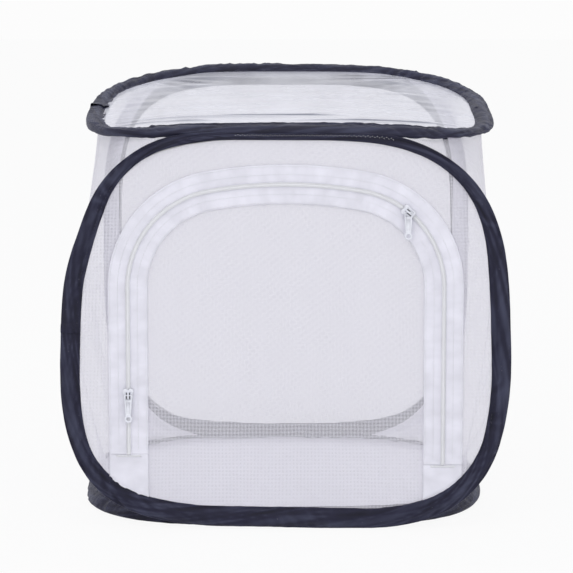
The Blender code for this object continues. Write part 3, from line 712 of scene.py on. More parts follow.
def film_finish(colours):
    """Clear vinyl film: nearly invisible face on, and glossy white at a glancing angle. Along its
    creases it carries painted shade: a dark colour and denser cover.
    """
    base = tuple(colours.film)
    made = Finish("clear_film", base, 0.1, IOR=1.53, Coat_Weight=0.4, Coat_Roughness=0.06)
    place = made.object_place()
    crease_shade = made.attribute("fold")
    haze = made.noise(place, 30, 3, (0.4, 1.6, 1))
    ripple = made.noise(place, 85, 2, (0.25, 1.8, 1))
    streaks = made.noise(place, 12, 4, (2.2, 0.5, 1))
    glance = made.add("ShaderNodeFresnel", in_0=1.56, in_1=made.emboss(ripple, 0.12, 0.5 * MM))
    cover = made.math("MULTIPLY_ADD", glance.outputs[0], 1.1, 0.16)
    cover = made.math("ADD", cover, made.span(streaks, 0.35, 0.7, -0.10, 0.12))
    # Painted shade along the creases: denser cover here, and a dark blue-grey colour below
    cover = made.math("ADD", cover, made.math("MULTIPLY", crease_shade, 0.5))
    cover.node.use_clamp = True
    made.feed("Alpha", cover)
    tone = made.mix(ripple, scaled(base, 0.93), scaled(base, 1.04))
    made.feed("Base Color", made.mix(crease_shade, tone, (0.12, 0.13, 0.19)))
    made.vary("Roughness", haze, 0.2, 0.32)
    dull = made.math("ADD", crease_shade, made.math("MULTIPLY", haze, 0.1))
    made.feed("Coat Weight", made.span(dull, 0, 1, 0.08, 0.0))
    made.feed("Specular IOR Level", made.span(crease_shade, 0, 1, 0.5, 0.05))
    return made.material


def tape_finish(colours):
    """Woven polyester tape: fine ribs along it and a soft nap."""
    base = tuple(colours.tape)
    made = Finish("white_tape", base, 0.82, Specular_IOR_Level=0.25, Sheen_Weight=0.15)
    u, v, uv = made.cloth_place()
    nap = made.noise(uv, 420, 3)
    mottle = made.span(made.noise(uv, 90, 2, (1, 0.6, 1)), 0.3, 0.7, 0, 1)
    made.feed("Base Color", made.mix(mottle, scaled(base, 0.93), scaled(base, 1.06)))
    made.vary("Roughness", nap, 0.74, 0.9)
    made.emboss(made.math("MULTIPLY_ADD", nap, 1.4, made.weave(u, v, 0.7 * MM)), 0.6, 0.09 * MM)
    return made.material


def thread_finish(name, tint):
    """Sewing thread: plies twist round it, and lint dulls it."""
    base = tuple(tint)
    made = Finish(name, base, 0.68, Specular_IOR_Level=0.3, Sheen_Weight=0.2)
    u, v, uv = made.cloth_place()
    lint = made.noise(uv, 700, 2)
    made.feed("Base Color", made.mix(lint, scaled(base, 0.85), base))
    made.vary("Roughness", lint, 0.6, 0.8)
    made.emboss(made.ridge(made.math("ADD", u, v), 0.32 * MM), 0.5, 0.05 * MM)
    return made.material


def hard_finish(name, tint, roughness, spread, stain, grain, relief, **sockets):
    """Nylon, enamel or metal.

    Spread is the lowest and highest roughness. Stain is the scale, detail and darkest tone of the
    patches, grain the scale and detail of the fine relief, and relief its strength and depth.
    """
    base = tuple(tint)
    made = Finish(name, base, roughness, **sockets)
    place = made.object_place()
    fine = made.noise(place, *grain)
    scale, detail, darkest = stain
    made.feed("Base Color", made.mix(made.noise(place, scale, detail), scaled(base, darkest), base))
    made.vary("Roughness", fine, *spread)
    made.emboss(fine, *relief)
    return made.material


def coil_finish(colours):
    return hard_finish(
        "nylon_coil", colours.coil, 0.42, (0.34, 0.5), (60, 2, 0.92), (900, 2),
        (0.3, 0.03 * MM), Specular_IOR_Level=0.4,
    )


def enamel_finish(colours):
    return hard_finish(
        "white_enamel", colours.enamel, 0.3, (0.24, 0.38), (240, 3, 0.9), (700, 2),
        (0.25, 0.02 * MM), Specular_IOR_Level=0.5, Coat_Weight=0.35, Coat_Roughness=0.12,
    )


def steel_finish(name, tint, roughness):
    spread = (roughness - 0.06, roughness + 0.12)
    return hard_finish(
        name, tint, roughness, spread, (40, 2, 0.8), (900, 3), (0.3, 0.02 * MM), Metallic=1.0
    )


def finish(name):
    """The named finish, made the first time it is asked for."""
    if name in bpy.data.materials and name in MADE_FINISHES:
        return MADE_FINISHES[name]
    sizes = bpy.context.scene.cage_sizes
    colours = bpy.context.scene.cage_colours
    makers = {
        "navy_cloth": lambda: navy_cloth_finish(colours),
        "navy_thread": lambda: thread_finish("navy_thread", colours.navy_thread),
        "white_mesh": lambda: mesh_finish("white_mesh", sizes, colours, 0.10),
        # A nearly closed copy of the wall mesh, 1.09 times as bright: painted light that lifts the
        # floor, which renders darker seen through the front
        "floor_mesh": lambda: mesh_finish("floor_mesh", sizes, colours, 0.9, 1.09),
        "clear_film": lambda: film_finish(colours),
        "white_tape": lambda: tape_finish(colours),
        "white_thread": lambda: thread_finish("white_thread", colours.thread),
        "nylon_coil": lambda: coil_finish(colours),
        "white_enamel": lambda: enamel_finish(colours),
        # A dark steel plate that stands in the sliders' slots as painted shade
        "painted_slot_shade": lambda: steel_finish("painted_slot_shade", scaled(colours.spring, 0.5), 0.5),
        "spring_steel": lambda: steel_finish("spring_steel", colours.spring, 0.34),
        "zinc_steel": lambda: steel_finish("zinc_steel", colours.zinc, 0.42),
    }
    MADE_FINISHES[name] = makers[name]()
    return MADE_FINISHES[name]


MADE_FINISHES = {}


# Sleeves


# Distances along a sleeve between its wrinkles, from long swells to fine gathers, and between the
# twists and streaks of its painted sheen
FOLD_PITCH = 8 * MM
LONG_PITCH = 34 * MM
SWELL_PITCH = 26 * MM
FINE_PITCH = 2.4 * MM
GATHER_PITCH = 3.2 * MM
TWIST_PITCH = 15 * MM
SHEEN_STREAK_PITCH = 30 * MM

# Room for the metal inside: the wire, and the ferrule over its joint
WIRE_RADIUS = 1.05 * MM
FERRULE_RADIUS = 2.0 * MM
FERRULE_REACH = 11 * MM
COLLAR_REACH = 13 * MM
COLLAR_HEIGHT = 0.5 * MM
CLOTH_OVER_WIRE = 0.5 * MM
GROOVE_DEPTH = 0.34 * MM
LEAST_SKIN = 0.24 * MM


def band_profile(across, wire=0.0):
    """Half-thickness of the sewn tube across its band, from -1 inside to 1 outside, in millimetres.

    The wire's channel takes the outer two thirds, and a flat sewn flange the inner third. Where the
    wire lies nearer to one edge, the channel follows it.
    """
    middle = np.clip(0.22 + 0.88 * wire, -0.42, 0.45)
    channel = np.clip(1 - ((across - middle) / 0.79) ** 2, 0, None) ** 0.62
    return 0.42 + 1.9 * channel


def ridged(seed, u, v):
    """Relief from -1 to 1 with sharp crests, like pinched cloth."""
    return 1 - 2 * np.abs(noise(seed, u, v))


def kinked(seed, s, step):
    """Straight runs with a kink between them, from -1 to 1, along a distance."""
    knots = np.arange(math.ceil(s.max() / step) + 2)
    heights = noise(seed, knots + 0.001, 0.5 + 0 * knots)
    places = (knots + 0.35 * noise(seed + 1, knots + 0.001, 1.5 + 0 * knots)) * step
    return np.interp(s, places, heights)


def sleeve_grid(hoop, wrinkle):
    """Skin of a sleeve as a grid along the hoop and round the band, with (u, v) and its painted
    sheen and shade.
    """
    line, lap, seed = HOOPS[hoop][0], LAPS[hoop], SEEDS[hoop]
    full = run_length(line(np.linspace(math.pi, 3 * math.pi, LINE_STEPS)))[-1]
    overlap = lap / full * math.tau
    angles = even_angles(line, math.pi - overlap / 2, 3 * math.pi + overlap / 2, SLEEVE_STATIONS)
    centre, outward, through, half = hoop_frames(hoop, angles)
    s = run_length(centre)
    turn = np.linspace(0, math.tau, SLEEVE_AROUND, endpoint=False)
    across = np.cos(turn)
    across = np.sign(across) * np.abs(across) ** 0.8
    side = np.sin(turn)
    face = np.clip(side * 6, -1, 1)
    bend = np.linalg.norm(np.gradient(unit(np.gradient(centre, axis=0)), axis=0), axis=1)
    bend = bend / np.gradient(s)
    tight = clamp(bend / TIGHT_BEND)[:, None]
    share = (half / HALF_BAND)[:, None]
    S, A = s[:, None], across[None, :]

    # Wrinkles: slanted folds, long ones along the band, fine ones, and gathers at the inner seam
    slant = S / FOLD_PITCH + 1.8 * A * noise(seed + 5, S / (40 * MM), 0 * A)
    patch = 0.55 + 0.45 * noise(seed + 6, S / (45 * MM), A * 0.6 + face)
    folds = ridged(seed, slant, A * 0.8 + face * 2.3) * (0.95 + 0.75 * tight) * patch
    lengthwise = ridged(seed + 3, S / LONG_PITCH + face, A * 2.2 + S / (60 * MM)) * 0.45
    fine = noise(seed + 1, S / FINE_PITCH + 0.9 * A, A * 1.6 + face * 3.1) * (0.12 + 0.26 * tight)
    swell = noise(seed + 2, S / SWELL_PITCH, A * 0.5 + face) * 0.4 + lengthwise
    gather = noise(seed + 4, S / GATHER_PITCH, face) * clamp(-A) * (0.2 + 0.5 * tight)
    relief = (folds + fine + swell) * wrinkle + gather * wrinkle * 1.4
    relief = relief * np.clip(share, 0.3, 1)

    # Thickness: the sewn tube with its groove, a collar over the wire's joint, room for the wire
    wire_line = WIRES[hoop][0](angles)
    wire = (((wire_line - centre) * outward).sum(axis=1) / half)[:, None]
    joined = np.interp(math.tau, angles, s)
    collar = COLLAR_HEIGHT * bump(S, joined, COLLAR_REACH)
    thick = band_profile(A, wire) * MM * share**0.35
    groove = GROOVE_DEPTH * bump(A, GROOVE_ACROSS, 0.13) * share
    skin = thick + collar * clamp(1.1 - A * A) - groove + relief
    skin = np.maximum(skin, LEAST_SKIN)
    metal = np.where(np.abs(S - joined) < FERRULE_REACH, FERRULE_RADIUS, WIRE_RADIUS)
    beside = (A - wire) * half[:, None]
    offset = ((wire_line - centre) * through).sum(axis=1)[:, None] * face[None, :]
    over_wire = np.sqrt(np.clip(metal**2 - (beside * 0.8) ** 2, 0, None))
    over_wire = over_wire + (CLOTH_OVER_WIRE + offset) * (np.abs(beside) < metal * 1.25)
    skin = np.maximum(skin, over_wire)
    depth = face[None, :] * (skin * clamp(np.abs(side) * 4)[None, :])

    # Both edges wander, and the end laps over the start
    wavy_out = 1 + 0.022 * kinked(seed + 7, s, 26 * MM) + 0.012 * noise(seed + 8, s / (7 * MM), 0)
    wavy_in = 1 + 0.065 * kinked(seed + 9, s, 24 * MM) + 0.02 * noise(seed + 10, s / (6 * MM), 0)
    wide = half[:, None] * A * np.where(A > 0, wavy_out[:, None], wavy_in[:, None])
    ending = clamp((s - (s[-1] - lap)) / (0.6 * MM))[:, None]
    depth = depth * (1 + 0.25 * ending) + ending * face[None, :] * 0.5 * MM
    wide = wide * (1 + 0.03 * ending)
    grid = centre[:, None, :] + wide[..., None] * outward[:, None, :]
    grid = grid + depth[..., None] * through[:, None, :]
    lowest = 0.1 * MM + 0.05 * MM * noise(seed, S / (5 * MM), 3 * A)
    grid[..., 2] = np.maximum(grid[..., 2], lowest)
    girth = turn / math.tau * 4.1 * HALF_BAND
    uv = np.stack(np.broadcast_arrays(S, girth[None, :]), axis=-1)

    # Painted sheen and shade for each point: painted highlight high on the crests, painted shade
    # low in the groove and on the flange
    twist = ridged(seed + 12, S / TWIST_PITCH + 2.4 * A + face, A * 0.9 + S / (70 * MM))
    sheen_streaks = ridged(seed + 13, S / SHEEN_STREAK_PITCH + 1.2 * A + face, A * 1.3) * clamp(1.2 - A * A)
    crest = 0.4 + 0.2 * (folds + swell) + 0.3 * twist + 0.16 * sheen_streaks
    crest = crest - 0.16 * bump(A, GROOVE_ACROSS, 0.12) - 0.07 * clamp((-0.36 - A) / 0.1)
    return grid, uv, clamp(crest)


def sew_sleeve(hoop):
    sizes = bpy.context.scene.cage_sizes
    grid, uv, crest = sleeve_grid(hoop, sizes.wrinkle)
    piece = grid_piece(f"{hoop}_sleeve_cloth", grid, "navy_cloth", uv, wrap=True)
    # crest carries the painted sheen and shade to the navy finish
    point_values(piece, "crest", crest)
    thicken(piece, sizes.cloth, -1)
    keep_above_floor(piece)
    fit(piece, hoop, f"{hoop}_sleeve")


# Mesh panels and film


FLOOR_REST = 0.5 * MM  # height of the floor where it lies on the ground
FLOOR_RIPPLE = 0.5 * MM
FLOOR_RIM = 11 * MM  # how far in from its edge the floor comes down
BACK_RIPPLE = 0.6 * MM
FRONT_RIPPLE = 0.7 * MM
DOOR_RIPPLE = 0.8 * MM
WALL_FOLD = 0.9 * MM
GATHERED_FROM = 0.74  # share of the wall's depth where it starts to gather towards the back
FILM_SAG = 2.2 * MM


def panel_uv(points, columns, bias=0.0):
    """Places on the cloth in metres, turned where the panel is cut on the bias."""
    flat = points[..., list(columns)]
    turn = np.array([[math.cos(bias), math.sin(bias)], [-math.sin(bias), math.cos(bias)]])
    return flat @ turn


def inner_edge(hoop, angles, tuck):
    """The line that a panel is sewn to, this far out past the inner edge of the hoop's sleeve."""
    centre, outward, _, half = hoop_frames(hoop, angles)
    return centre - (half - tuck)[:, None] * outward


def inner_pair(hoop, count, tuck):
    """The left and right halves of a sleeve's inner edge, from low or front to high or rear."""
    right_angles = even_angles(WIRES[hoop][0], -math.pi / 2, math.pi / 2, count)
    return [inner_edge(hoop, angles, tuck) for angles in (math.pi - right_angles, right_angles)]


def span_sheet(left, right, columns):
    """A grid of straight rows between two edges that meet at both ends."""
    t = np.linspace(0, 1, columns)[None, :, None]
    return left[:, None, :] * (1 - t) + right[:, None, :] * t


def lay_panel(name, node_name, body, grid, columns, cloth="white_mesh"):
    piece = grid_piece(name, grid, cloth, panel_uv(grid, columns, PANEL_BIAS))
    close_poles(piece)
    fit(piece, body, node_name)


def floor_mesh():
    """It lies on the ground but for its rim, which rises to the sleeve."""
    columns = 80
    left, right = inner_pair("base", 90, PANEL_TUCK)
    grid = span_sheet(left, right, columns)
    x, y = grid[..., 0], grid[..., 1]
    rim, ends = np.abs(left[:, 0]).max(), np.abs(left[:, 1] - MID_DEPTH).max()
    reach = (np.abs((x + BASE_SHIFT) / rim) ** 3 + np.abs((y - MID_DEPTH) / ends) ** 3) ** (1 / 3)
    hang = np.exp(-clamp(1 - reach) * rim / FLOOR_RIM)
    ripple = FLOOR_RIPPLE * (1 + noise(41, x / (45 * MM), y / (38 * MM)))
    t = np.abs(np.linspace(-1, 1, columns))[None, :]
    hang = np.maximum(hang, t**24)
    grid[..., 2] = FLOOR_REST + (grid[..., 2] - FLOOR_REST) * hang + ripple * (1 - hang)
    lay_panel("floor_mesh", "floor_panel", "base", grid, (0, 1), "floor_mesh")


def back_mesh():
    left, right = inner_pair("back", 110, PANEL_TUCK)
    grid = span_sheet(left, right, 90)
    x, z = grid[..., 0], grid[..., 2]
    streak = noise(51, x / (16 * MM), z / (120 * MM)) + 0.5 * noise(52, x / (6 * MM), z / (60 * MM))
    grid[..., 1] += BACK_RIPPLE * streak * clamp(1 - (np.abs(x) / 0.14) ** 6)
    lay_panel("back_mesh", "back_panel", "back", grid, (0, 2))


def seam_angle(line, seam, toward):
    angles = np.linspace(0, toward * math.pi / 2, 721)
    return np.interp(-seam / 2, -line(angles)[:, 0], angles)


def wall_edge(hoop, side, seams, count):
    """The line on a sleeve's inner face that a side wall is sewn to, from its low or front end."""
    line = WIRES[hoop][0]
    inside, halfway = HOOPS[hoop][3:]
    low = seam_angle(line, seams[0], -1)
    high = seam_angle(line, seams[1], 1)
    angles = even_angles(line, low, high, count)
    centre, outward, through, half = hoop_frames(hoop, angles if side > 0 else math.pi - angles)
    across = SEWN_EDGE - (SEWN_EDGE - halfway) * np.sin(np.linspace(0, math.pi, count)) ** 0.6
    face = HALF_THICKNESS * clamp(2 * (1 - np.abs(across)))
    stand_off = (face + WALL_GAP)[:, None]
    return centre + (across * half)[:, None] * outward + inside * stand_off * through


def join_ends(curve, first, last):
    t = np.linspace(0, 1, len(curve))[:, None]
    return curve + (1 - t) ** 12 * (first - curve[0]) + t**12 * (last - curve[-1])


def taut(grid, passes):
    """Cloth pulled taut inside a fixed edge: each point moves to the middle of its neighbours."""
    for _ in range(passes):
        beside = grid[1:-1, :-2] + grid[1:-1, 2:] + grid[:-2, 1:-1] + grid[2:, 1:-1]
        grid[1:-1, 1:-1] = beside / 4
    return grid


def halved(grid):
    """The same grid with a point added between each two."""
    rows = np.zeros((2 * len(grid) - 1, *grid.shape[1:]))
    rows[::2], rows[1::2] = grid, (grid[:-1] + grid[1:]) / 2
    fine = np.zeros((len(rows), 2 * rows.shape[1] - 1, 3))
    fine[:, ::2], fine[:, 1::2] = rows, (rows[:, :-1] + rows[:, 1:]) / 2
    return fine


def wall_surface(side, doublings=3):
    """A side wall as a grid: four sewn edges, and cloth pulled taut between them, slightly full."""
    count = 9 * 2**doublings + 1
    front = wall_edge("front", side, (FOOT_SEAM, TOP_SEAM), count)
    back = wall_edge("back", side, (FOOT_SEAM, TOP_SEAM), count)
    base = wall_edge("base", side, (FOOT_SEAM, FOOT_SEAM), count)
    top = wall_edge("top", side, (TOP_SEAM, TOP_SEAM), count)
    low = [(front[0] + base[0]) / 2, (back[0] + base[-1]) / 2]
    high = [(front[-1] + top[0]) / 2, (back[-1] + top[-1]) / 2]
    front, back = join_ends(front, low[0], high[0]), join_ends(back, low[1], high[1])
    base, top = join_ends(base, low[0], low[1]), join_ends(top, high[0], high[1])
    grid = np.tile((front.mean(axis=0) + back.mean(axis=0)) / 2, (10, 10, 1))
    for level in range(doublings, -1, -1):
        step = 2**level
        if level < doublings:
            grid = halved(grid)
        grid[:, 0], grid[:, -1] = front[::step], back[::step]
        grid[0], grid[-1] = base[::step], top[::step]
        grid = taut(grid, 300)
    swell = np.sin(np.linspace(0, math.pi, count))
    grid[:, :, 0] += side * WALL_FULLNESS * np.outer(swell, swell)
    grid[:, :, 2] = np.maximum(grid[:, :, 2], 0.2 * MM)
    return grid


def hang_wall(name, side, seed):
    """The wall with light folds, gathered dense along the back sleeve."""
    grid = wall_surface(side)
    rows, columns = grid.shape[:2]
    i = np.linspace(0, 1, rows)[:, None]
    j = np.linspace(0, 1, columns)[None, :]
    free = clamp(np.sin(math.pi * i) * np.sin(math.pi * j)) ** 0.5
    fold = noise(seed, j * 26, i * 2.2) * 0.5 + noise(seed + 1, j * 9 + i * 3, i * 1.4)
    upper = bump(i, 1.0, 0.3) * noise(seed + 2, j * 34 + i * 9, i * 2) * 1.2
    grid[..., 0] += side * (fold + upper) * WALL_FOLD * free
    v = run_length(grid[:, columns // 2])[:, None]
    u = run_length(grid[rows // 2])[None, :]
    uv = np.stack(np.broadcast_arrays(u, v), axis=-1)
    piece = grid_piece(name, grid, "white_mesh", uv, flip=side < 0)
    streaks = noise(seed + 4, j * 40, i * 1.5) + 0.5 * noise(seed + 5, j * 90, i * 2)
    gathered = clamp(0.93 - 0.25 * clamp(streaks - 0.35))
    gathered = clamp((j - GATHERED_FROM) / 0.12) * gathered
    folds = 0.75 * clamp(ridged(seed + 6, j * 7 + i * 2, i * 1.2) - 0.55)
    folds = folds + 0.2 * clamp(streaks)
    point_values(piece, "gathered", np.maximum(gathered, np.clip(folds, 0, 0.9)))
    fit(piece, "base", name.replace("_mesh", ""))
    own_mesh(piece)


# Long creases of the film: distance from its front edge in millimetres, slope, width and height in
# millimetres, left and right end in metres
CREASES = (
    (66, 0.03, 4.2, 1.1, -0.128, 0.05),
    (40, -0.06, 4.5, 1.3, -0.132, -0.045),
    (42, 0.05, 4.5, 1.2, -0.01, 0.132),
    (27, -0.02, 3.6, 0.8, 0.05, 0.128),
    (33, 0.02, 3.4, 0.7, 0.02, 0.10),
    (58, -0.03, 5.0, 0.6, -0.09, 0.02),
    (150, -0.10, 6.0, 0.5, 0.06, 0.125),
    (185, -0.16, 6.0, 0.6, 0.05, 0.12),
    (248, 0.05, 7.0, 0.7, -0.12, 0.0),
    (226, 0.25, 8.0, 0.6, -0.13, -0.04),
    (238, -0.1, 7.0, 0.6, 0.05, 0.125),
)


def film_creases(x, y):
    """Relief of the long creases and of the wrinkles at the rear corners, and the painted shade
    that darkens them.
    """
    front = top_ends()[0][0]
    depth, dark = np.zeros_like(x), np.zeros_like(x)
    for seed, (offset, slope, wide, height, left, right) in enumerate(CREASES, 1):
        path = front + offset * MM + slope * x + 3.0 * MM * noise(60 + seed, x / (45 * MM), 0 * x)
        reach = clamp((x - left) / 0.03) * clamp((right - x) / 0.03)
        strength = reach * (0.65 + 0.35 * noise(70 + seed, x / (30 * MM), 0 * x))
        t = (y - path) / (wide * MM)
        depth += 1.6 * height * strength * (np.exp(-t * t) - 0.5 * bump(t, 1.5, 1))
        dark += strength * height * np.exp(-(((t + 0.5) * 1.5) ** 2))
    for side in (-1, 1):
        corner_x, corner_y = side * 0.118, 0.118
        reach = np.hypot(x - corner_x, y - corner_y)
        bearing = np.arctan2(y - corner_y, (x - corner_x) * -side)
        fan = noise(80 + side, bearing * 9, reach / (60 * MM)) * bump(reach, 0, 75 * MM)
        depth += 1.5 * fan
        dark += 0.5 * clamp(fan - 0.15)
    depth += 0.5 * noise(90, x / (60 * MM), y / (14 * MM)) * clamp(1 - np.abs(y) / 0.16)
    return depth, clamp(dark)


def top_film():
    """The window: it sags a little between its edges, and its creases fade towards them."""
    columns = 120
    left, right = inner_pair("top", 260, FILM_TUCK)
    grid = span_sheet(left, right, columns)
    x, y = grid[..., 0], grid[..., 1]
    edge_lift = (right[:, 2] - top_height(right[:, 0], right[:, 1]))[:, None]
    share = np.abs(np.linspace(-1, 1, columns))[None, :]
    middle_y = (left[0, 1] + left[-1, 1]) / 2
    half_y = (left[-1, 1] - left[0, 1]) / 2
    toward = clamp(np.abs(y - middle_y) / half_y)
    rim = np.maximum(share**8, toward**8)
    z = top_height(x, y) + edge_lift * rim
    z = z - FILM_SAG * clamp(1 - share**2) * clamp(1 - toward**2)
    relief, dark = film_creases(x, y)
    z += bpy.context.scene.cage_sizes.crease * relief * clamp(1 - rim)
    grid[..., 2] = z
    piece = grid_piece("top_film", grid, "clear_film", panel_uv(grid, (0, 1)))
    # The painted crease shade goes to the film's finish as its fold values
    point_values(piece, "fold", dark)
    close_poles(piece)
    fit(piece, "top", "top_window")


# Door and zip, drawn in the front panel's plane as (x, z)


def arch_sizes():
    rest = math.pi / 2 - ARCH_CORNER_SWEEP
    crown = (DOOR_WIDTH / 2 - ARCH_CORNER * (1 - math.cos(ARCH_CORNER_SWEEP))) / math.sin(rest)
    spring = ARCH_TOP - crown * (1 - math.cos(rest)) - ARCH_CORNER * math.sin(ARCH_CORNER_SWEEP)
    return crown, spring, ARCH_TOP - crown


def arc(centre, radius, first, last, steps):
    turn = np.linspace(first, last, steps + 1)
    return np.stack([centre[0] + radius * np.cos(turn), centre[1] + radius * np.sin(turn)], axis=1)


def arch(offset, left_foot, right_foot, steps=48):
    """The zip's line from its left foot over to its right one, moved outwards by the offset."""
    crown, spring, crown_centre = arch_sizes()
    sweep = ARCH_CORNER_SWEEP
    inset = DOOR_WIDTH / 2 - ARCH_CORNER
    corner = ARCH_CORNER + offset
    reach = DOOR_WIDTH / 2 + offset
    parts = [
        np.array([[-reach, left_foot]]),
        arc((-inset, spring), corner, math.pi, math.pi - sweep, steps),
        arc((0, crown_centre), crown + offset, math.pi - sweep, sweep, steps)[1:],
        arc((inset, spring), corner, sweep, 0, steps)[1:],
        np.array([[reach, right_foot]]),
    ]
    return np.concatenate(parts)


def front_mesh():
    """The panel round the doorway, from under the zip's outer tape to inside the front sleeve."""
    step = FACING_REACH + 0.1 * MM
    foot = FOLD_HEIGHT - 0.3 * MM
    over = resample(arch(ZIP_LAP, LEFT_ZIP_END, RIGHT_ZIP_END), 300)
    left = resample([(-step, foot), (-step, LEFT_ZIP_END), tuple(over[0])], 16)[:-1]
    right = resample([tuple(over[-1]), (step, RIGHT_ZIP_END), (step, foot)], 16)[1:]
    below = resample([(step, foot), (-step, foot)], 120)[1:-1]
    doorway = np.concatenate([left, over, right, below])
    rim = inner_edge("front", np.linspace(0, math.tau, 1441), PANEL_TUCK)[:, [0, 2]]
    hub = np.array([0, DOORWAY_HUB])
    rim_bearing = np.unwrap(np.arctan2(rim[:, 1] - hub[1], rim[:, 0]))
    rim_reach = np.hypot(rim[:, 0], rim[:, 1] - hub[1])
    bearing = np.arctan2(doorway[:, 1] - hub[1], doorway[:, 0])
    bearing = (bearing - rim_bearing[0]) % math.tau + rim_bearing[0]
    reach = np.interp(bearing, rim_bearing, rim_reach)
    outer = hub + reach[:, None] * np.stack([np.cos(bearing), np.sin(bearing)], axis=1)
    t = np.linspace(0, 1, 22)[:, None, None]
    flat = doorway[None] * (1 - t) + outer[None] * t
    x, z = flat[..., 0], flat[..., 1]
    fade = np.sin(math.pi * clamp((t[..., 0] - 0.1) / 0.9))
    relief = noise(101, x / (9 * MM), z / (70 * MM)) * 0.5
    relief = relief + noise(102, x / (30 * MM), z / (24 * MM)) * 0.6
    grid = np.stack([x, FRONT_PLANE + FRONT_RIPPLE * relief * fade, z], axis=-1)
    piece = grid_piece("front_mesh", grid, "white_mesh", flat, wrap=True)
    fit(piece, "front", "front_panel")


def door_side(half, levels, step_below, step_x):
    """One side of the door: the zip's line, and a step out to the facing below the zip's end."""
    x = np.interp(levels, half[:, 1], half[:, 0])
    x = np.where(levels < step_below + 1.2 * MM, step_x, x)
    return np.stack([x, np.full(len(levels), FRONT_PLANE), levels], axis=1)


def door_mesh():
    """The flap: it starts just below its fold, so that it leaves no gap there."""
    rows, columns = 120, 90
    low = FOLD_HEIGHT - 0.5 * MM
    line = resample(arch(-DOOR_LAP, LEFT_ZIP_END, RIGHT_ZIP_END), 900)
    top = line[:, 1].max()
    levels = low + (top - low) * np.sin(np.linspace(0, math.pi / 2, rows))
    middle, step = len(line) // 2, FACING_REACH - 0.4 * MM
    left = door_side(line[:middle], levels, LEFT_ZIP_END, -step)
    right = door_side(line[middle:][::-1], levels, RIGHT_ZIP_END, step)
    grid = span_sheet(left, right, columns)
    x, z = grid[..., 0], grid[..., 2]
    t = np.abs(np.linspace(-1, 1, columns))[None, :]
    fade = clamp(1 - t**6)
    fade = fade * clamp((z - low) / 0.03) * clamp((top - z) / 0.03)
    relief = noise(111, x / (40 * MM), z / (50 * MM))
    relief = relief + 0.4 * noise(112, x / (12 * MM), z / (90 * MM))
    grid[..., 1] += DOOR_RIPPLE * relief * fade
    piece = grid_piece("door_mesh", grid, "white_mesh", panel_uv(grid, (0, 2)))
    close_poles(piece)
    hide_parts("door_panel")
    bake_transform(piece)


TAPE_THICKNESS = 0.4 * MM
FACING_THICKNESS = 0.3 * MM
FACING_BACK = 0.42 * MM
FACING_RISE = 0.48 * MM
FACING_DRAPE = 0.3 * MM
FACING_TOP = 1.3 * MM  # how far a facing reaches up under the tape
FACING_TUCK = 2.0 * MM


def zip_frames(count):
    """Points along the zip's line, directions along it and out across it, and the distance."""
    points = resample(arch(0, LEFT_ZIP_END + ZIP_FOOT, RIGHT_ZIP_END + ZIP_FOOT, steps=64), count)
    along = unit(np.gradient(points, axis=0))
    out = np.stack([-along[:, 1], along[:, 0]], axis=1)
    return points, along, out, run_length(points)


def tape_strip(half, body, near, far, seed):
    """One half of the zip's tape, with puckers where it is eased round the corners."""
    ribs = 14
    points, along, out, run = zip_frames(420)
    bend = np.linalg.norm(np.gradient(along, axis=0), axis=1) / np.gradient(run)
    eased = clamp(bend / EASED_BEND)[:, None]
    run = run[:, None]
    across = np.linspace(near, far, ribs)
    flat = points[:, None, :] + across[None, :, None] * out[:, None, :]
    A = np.linspace(0, 1, ribs)[None, :]
    pucker = noise(seed, run / (6 * MM), A * 1.5) * (0.25 + 0.75 * eased) * A
    wave = noise(seed + 1, run / (45 * MM), A) * 0.4
    ribs_over = ridged(seed + 2, run / (11 * MM) + A, A * 1.2) * (0.3 + 0.7 * eased) * A
    middle = (TAPE_BACK + TAPE_FACE) / 2
    depth = middle + 0.2 * MM * wave + 0.34 * MM * pucker + 0.22 * MM * ribs_over
    grid = np.stack([flat[..., 0], FRONT_PLANE - depth, flat[..., 1]], axis=-1)
    uv = np.stack(np.broadcast_arrays(run, across[None, :]), axis=-1)
    piece = grid_piece(f"zip_tape_{half}_cloth", grid, "white_tape", uv, flip=far > near)
    thicken(piece, TAPE_THICKNESS, 0)
    fit(piece, body, f"zip_tape_{half}")


def coil_row(half, body, sign, phase):
    """One row of the nylon coil: a flattened spiral whose heads reach past the zip's line."""
    pitch = bpy.context.scene.cage_sizes.coil_pitch
    steps, sides = 9, 5
    count = (int(zip_frames(600)[3][-1] / pitch) - 1) * steps + 1
    points, along, _, run = zip_frames(1400)
    travel = (np.arange(count) / steps + 0.5 + phase) * pitch
    place = at_distances(points, run, travel)
    heading = unit(at_distances(along, run, travel))
    outward = np.stack([-heading[:, 1], heading[:, 0]], axis=1)
    turn = np.arange(count) / steps * math.tau
    middle, swing = (COIL_HEAD + COIL_ROOT) / 2, (COIL_ROOT - COIL_HEAD) / 2
    across = sign * (middle - swing * np.cos(turn))
    face = COIL_FACE - 0.3 * MM
    depth = (TAPE_FACE + face) / 2 + ((face - TAPE_FACE) / 2 - COIL_RADIUS) * np.sin(turn)
    flat = place + across[:, None] * outward
    core = np.stack([flat[:, 0], FRONT_PLANE - depth, flat[:, 1]], axis=1)
    tangent = unit(np.gradient(core, axis=0))
    up = np.stack([heading[:, 0], np.zeros(count), heading[:, 1]], axis=1)
    first = unit(np.cross(tangent, up))
    second = np.cross(tangent, first)
    spoke = (np.arange(sides) / sides * math.tau)[None, :, None]
    ring = np.cos(spoke) * first[:, None] + np.sin(spoke) * second[:, None]
    grid = core[:, None] + COIL_RADIUS * ring
    faces = grid_faces(count, sides, wrap=True, flip=True)
    faces.append(list(range(sides)))
    faces.append([(count - 1) * sides + k for k in range(sides)][::-1])
    piece = mesh_piece(f"zip_coil_{half}_loops", grid.reshape(-1, 3), faces, "nylon_coil")
    face_outwards(piece)
    fit(piece, body, f"zip_coil_{half}")


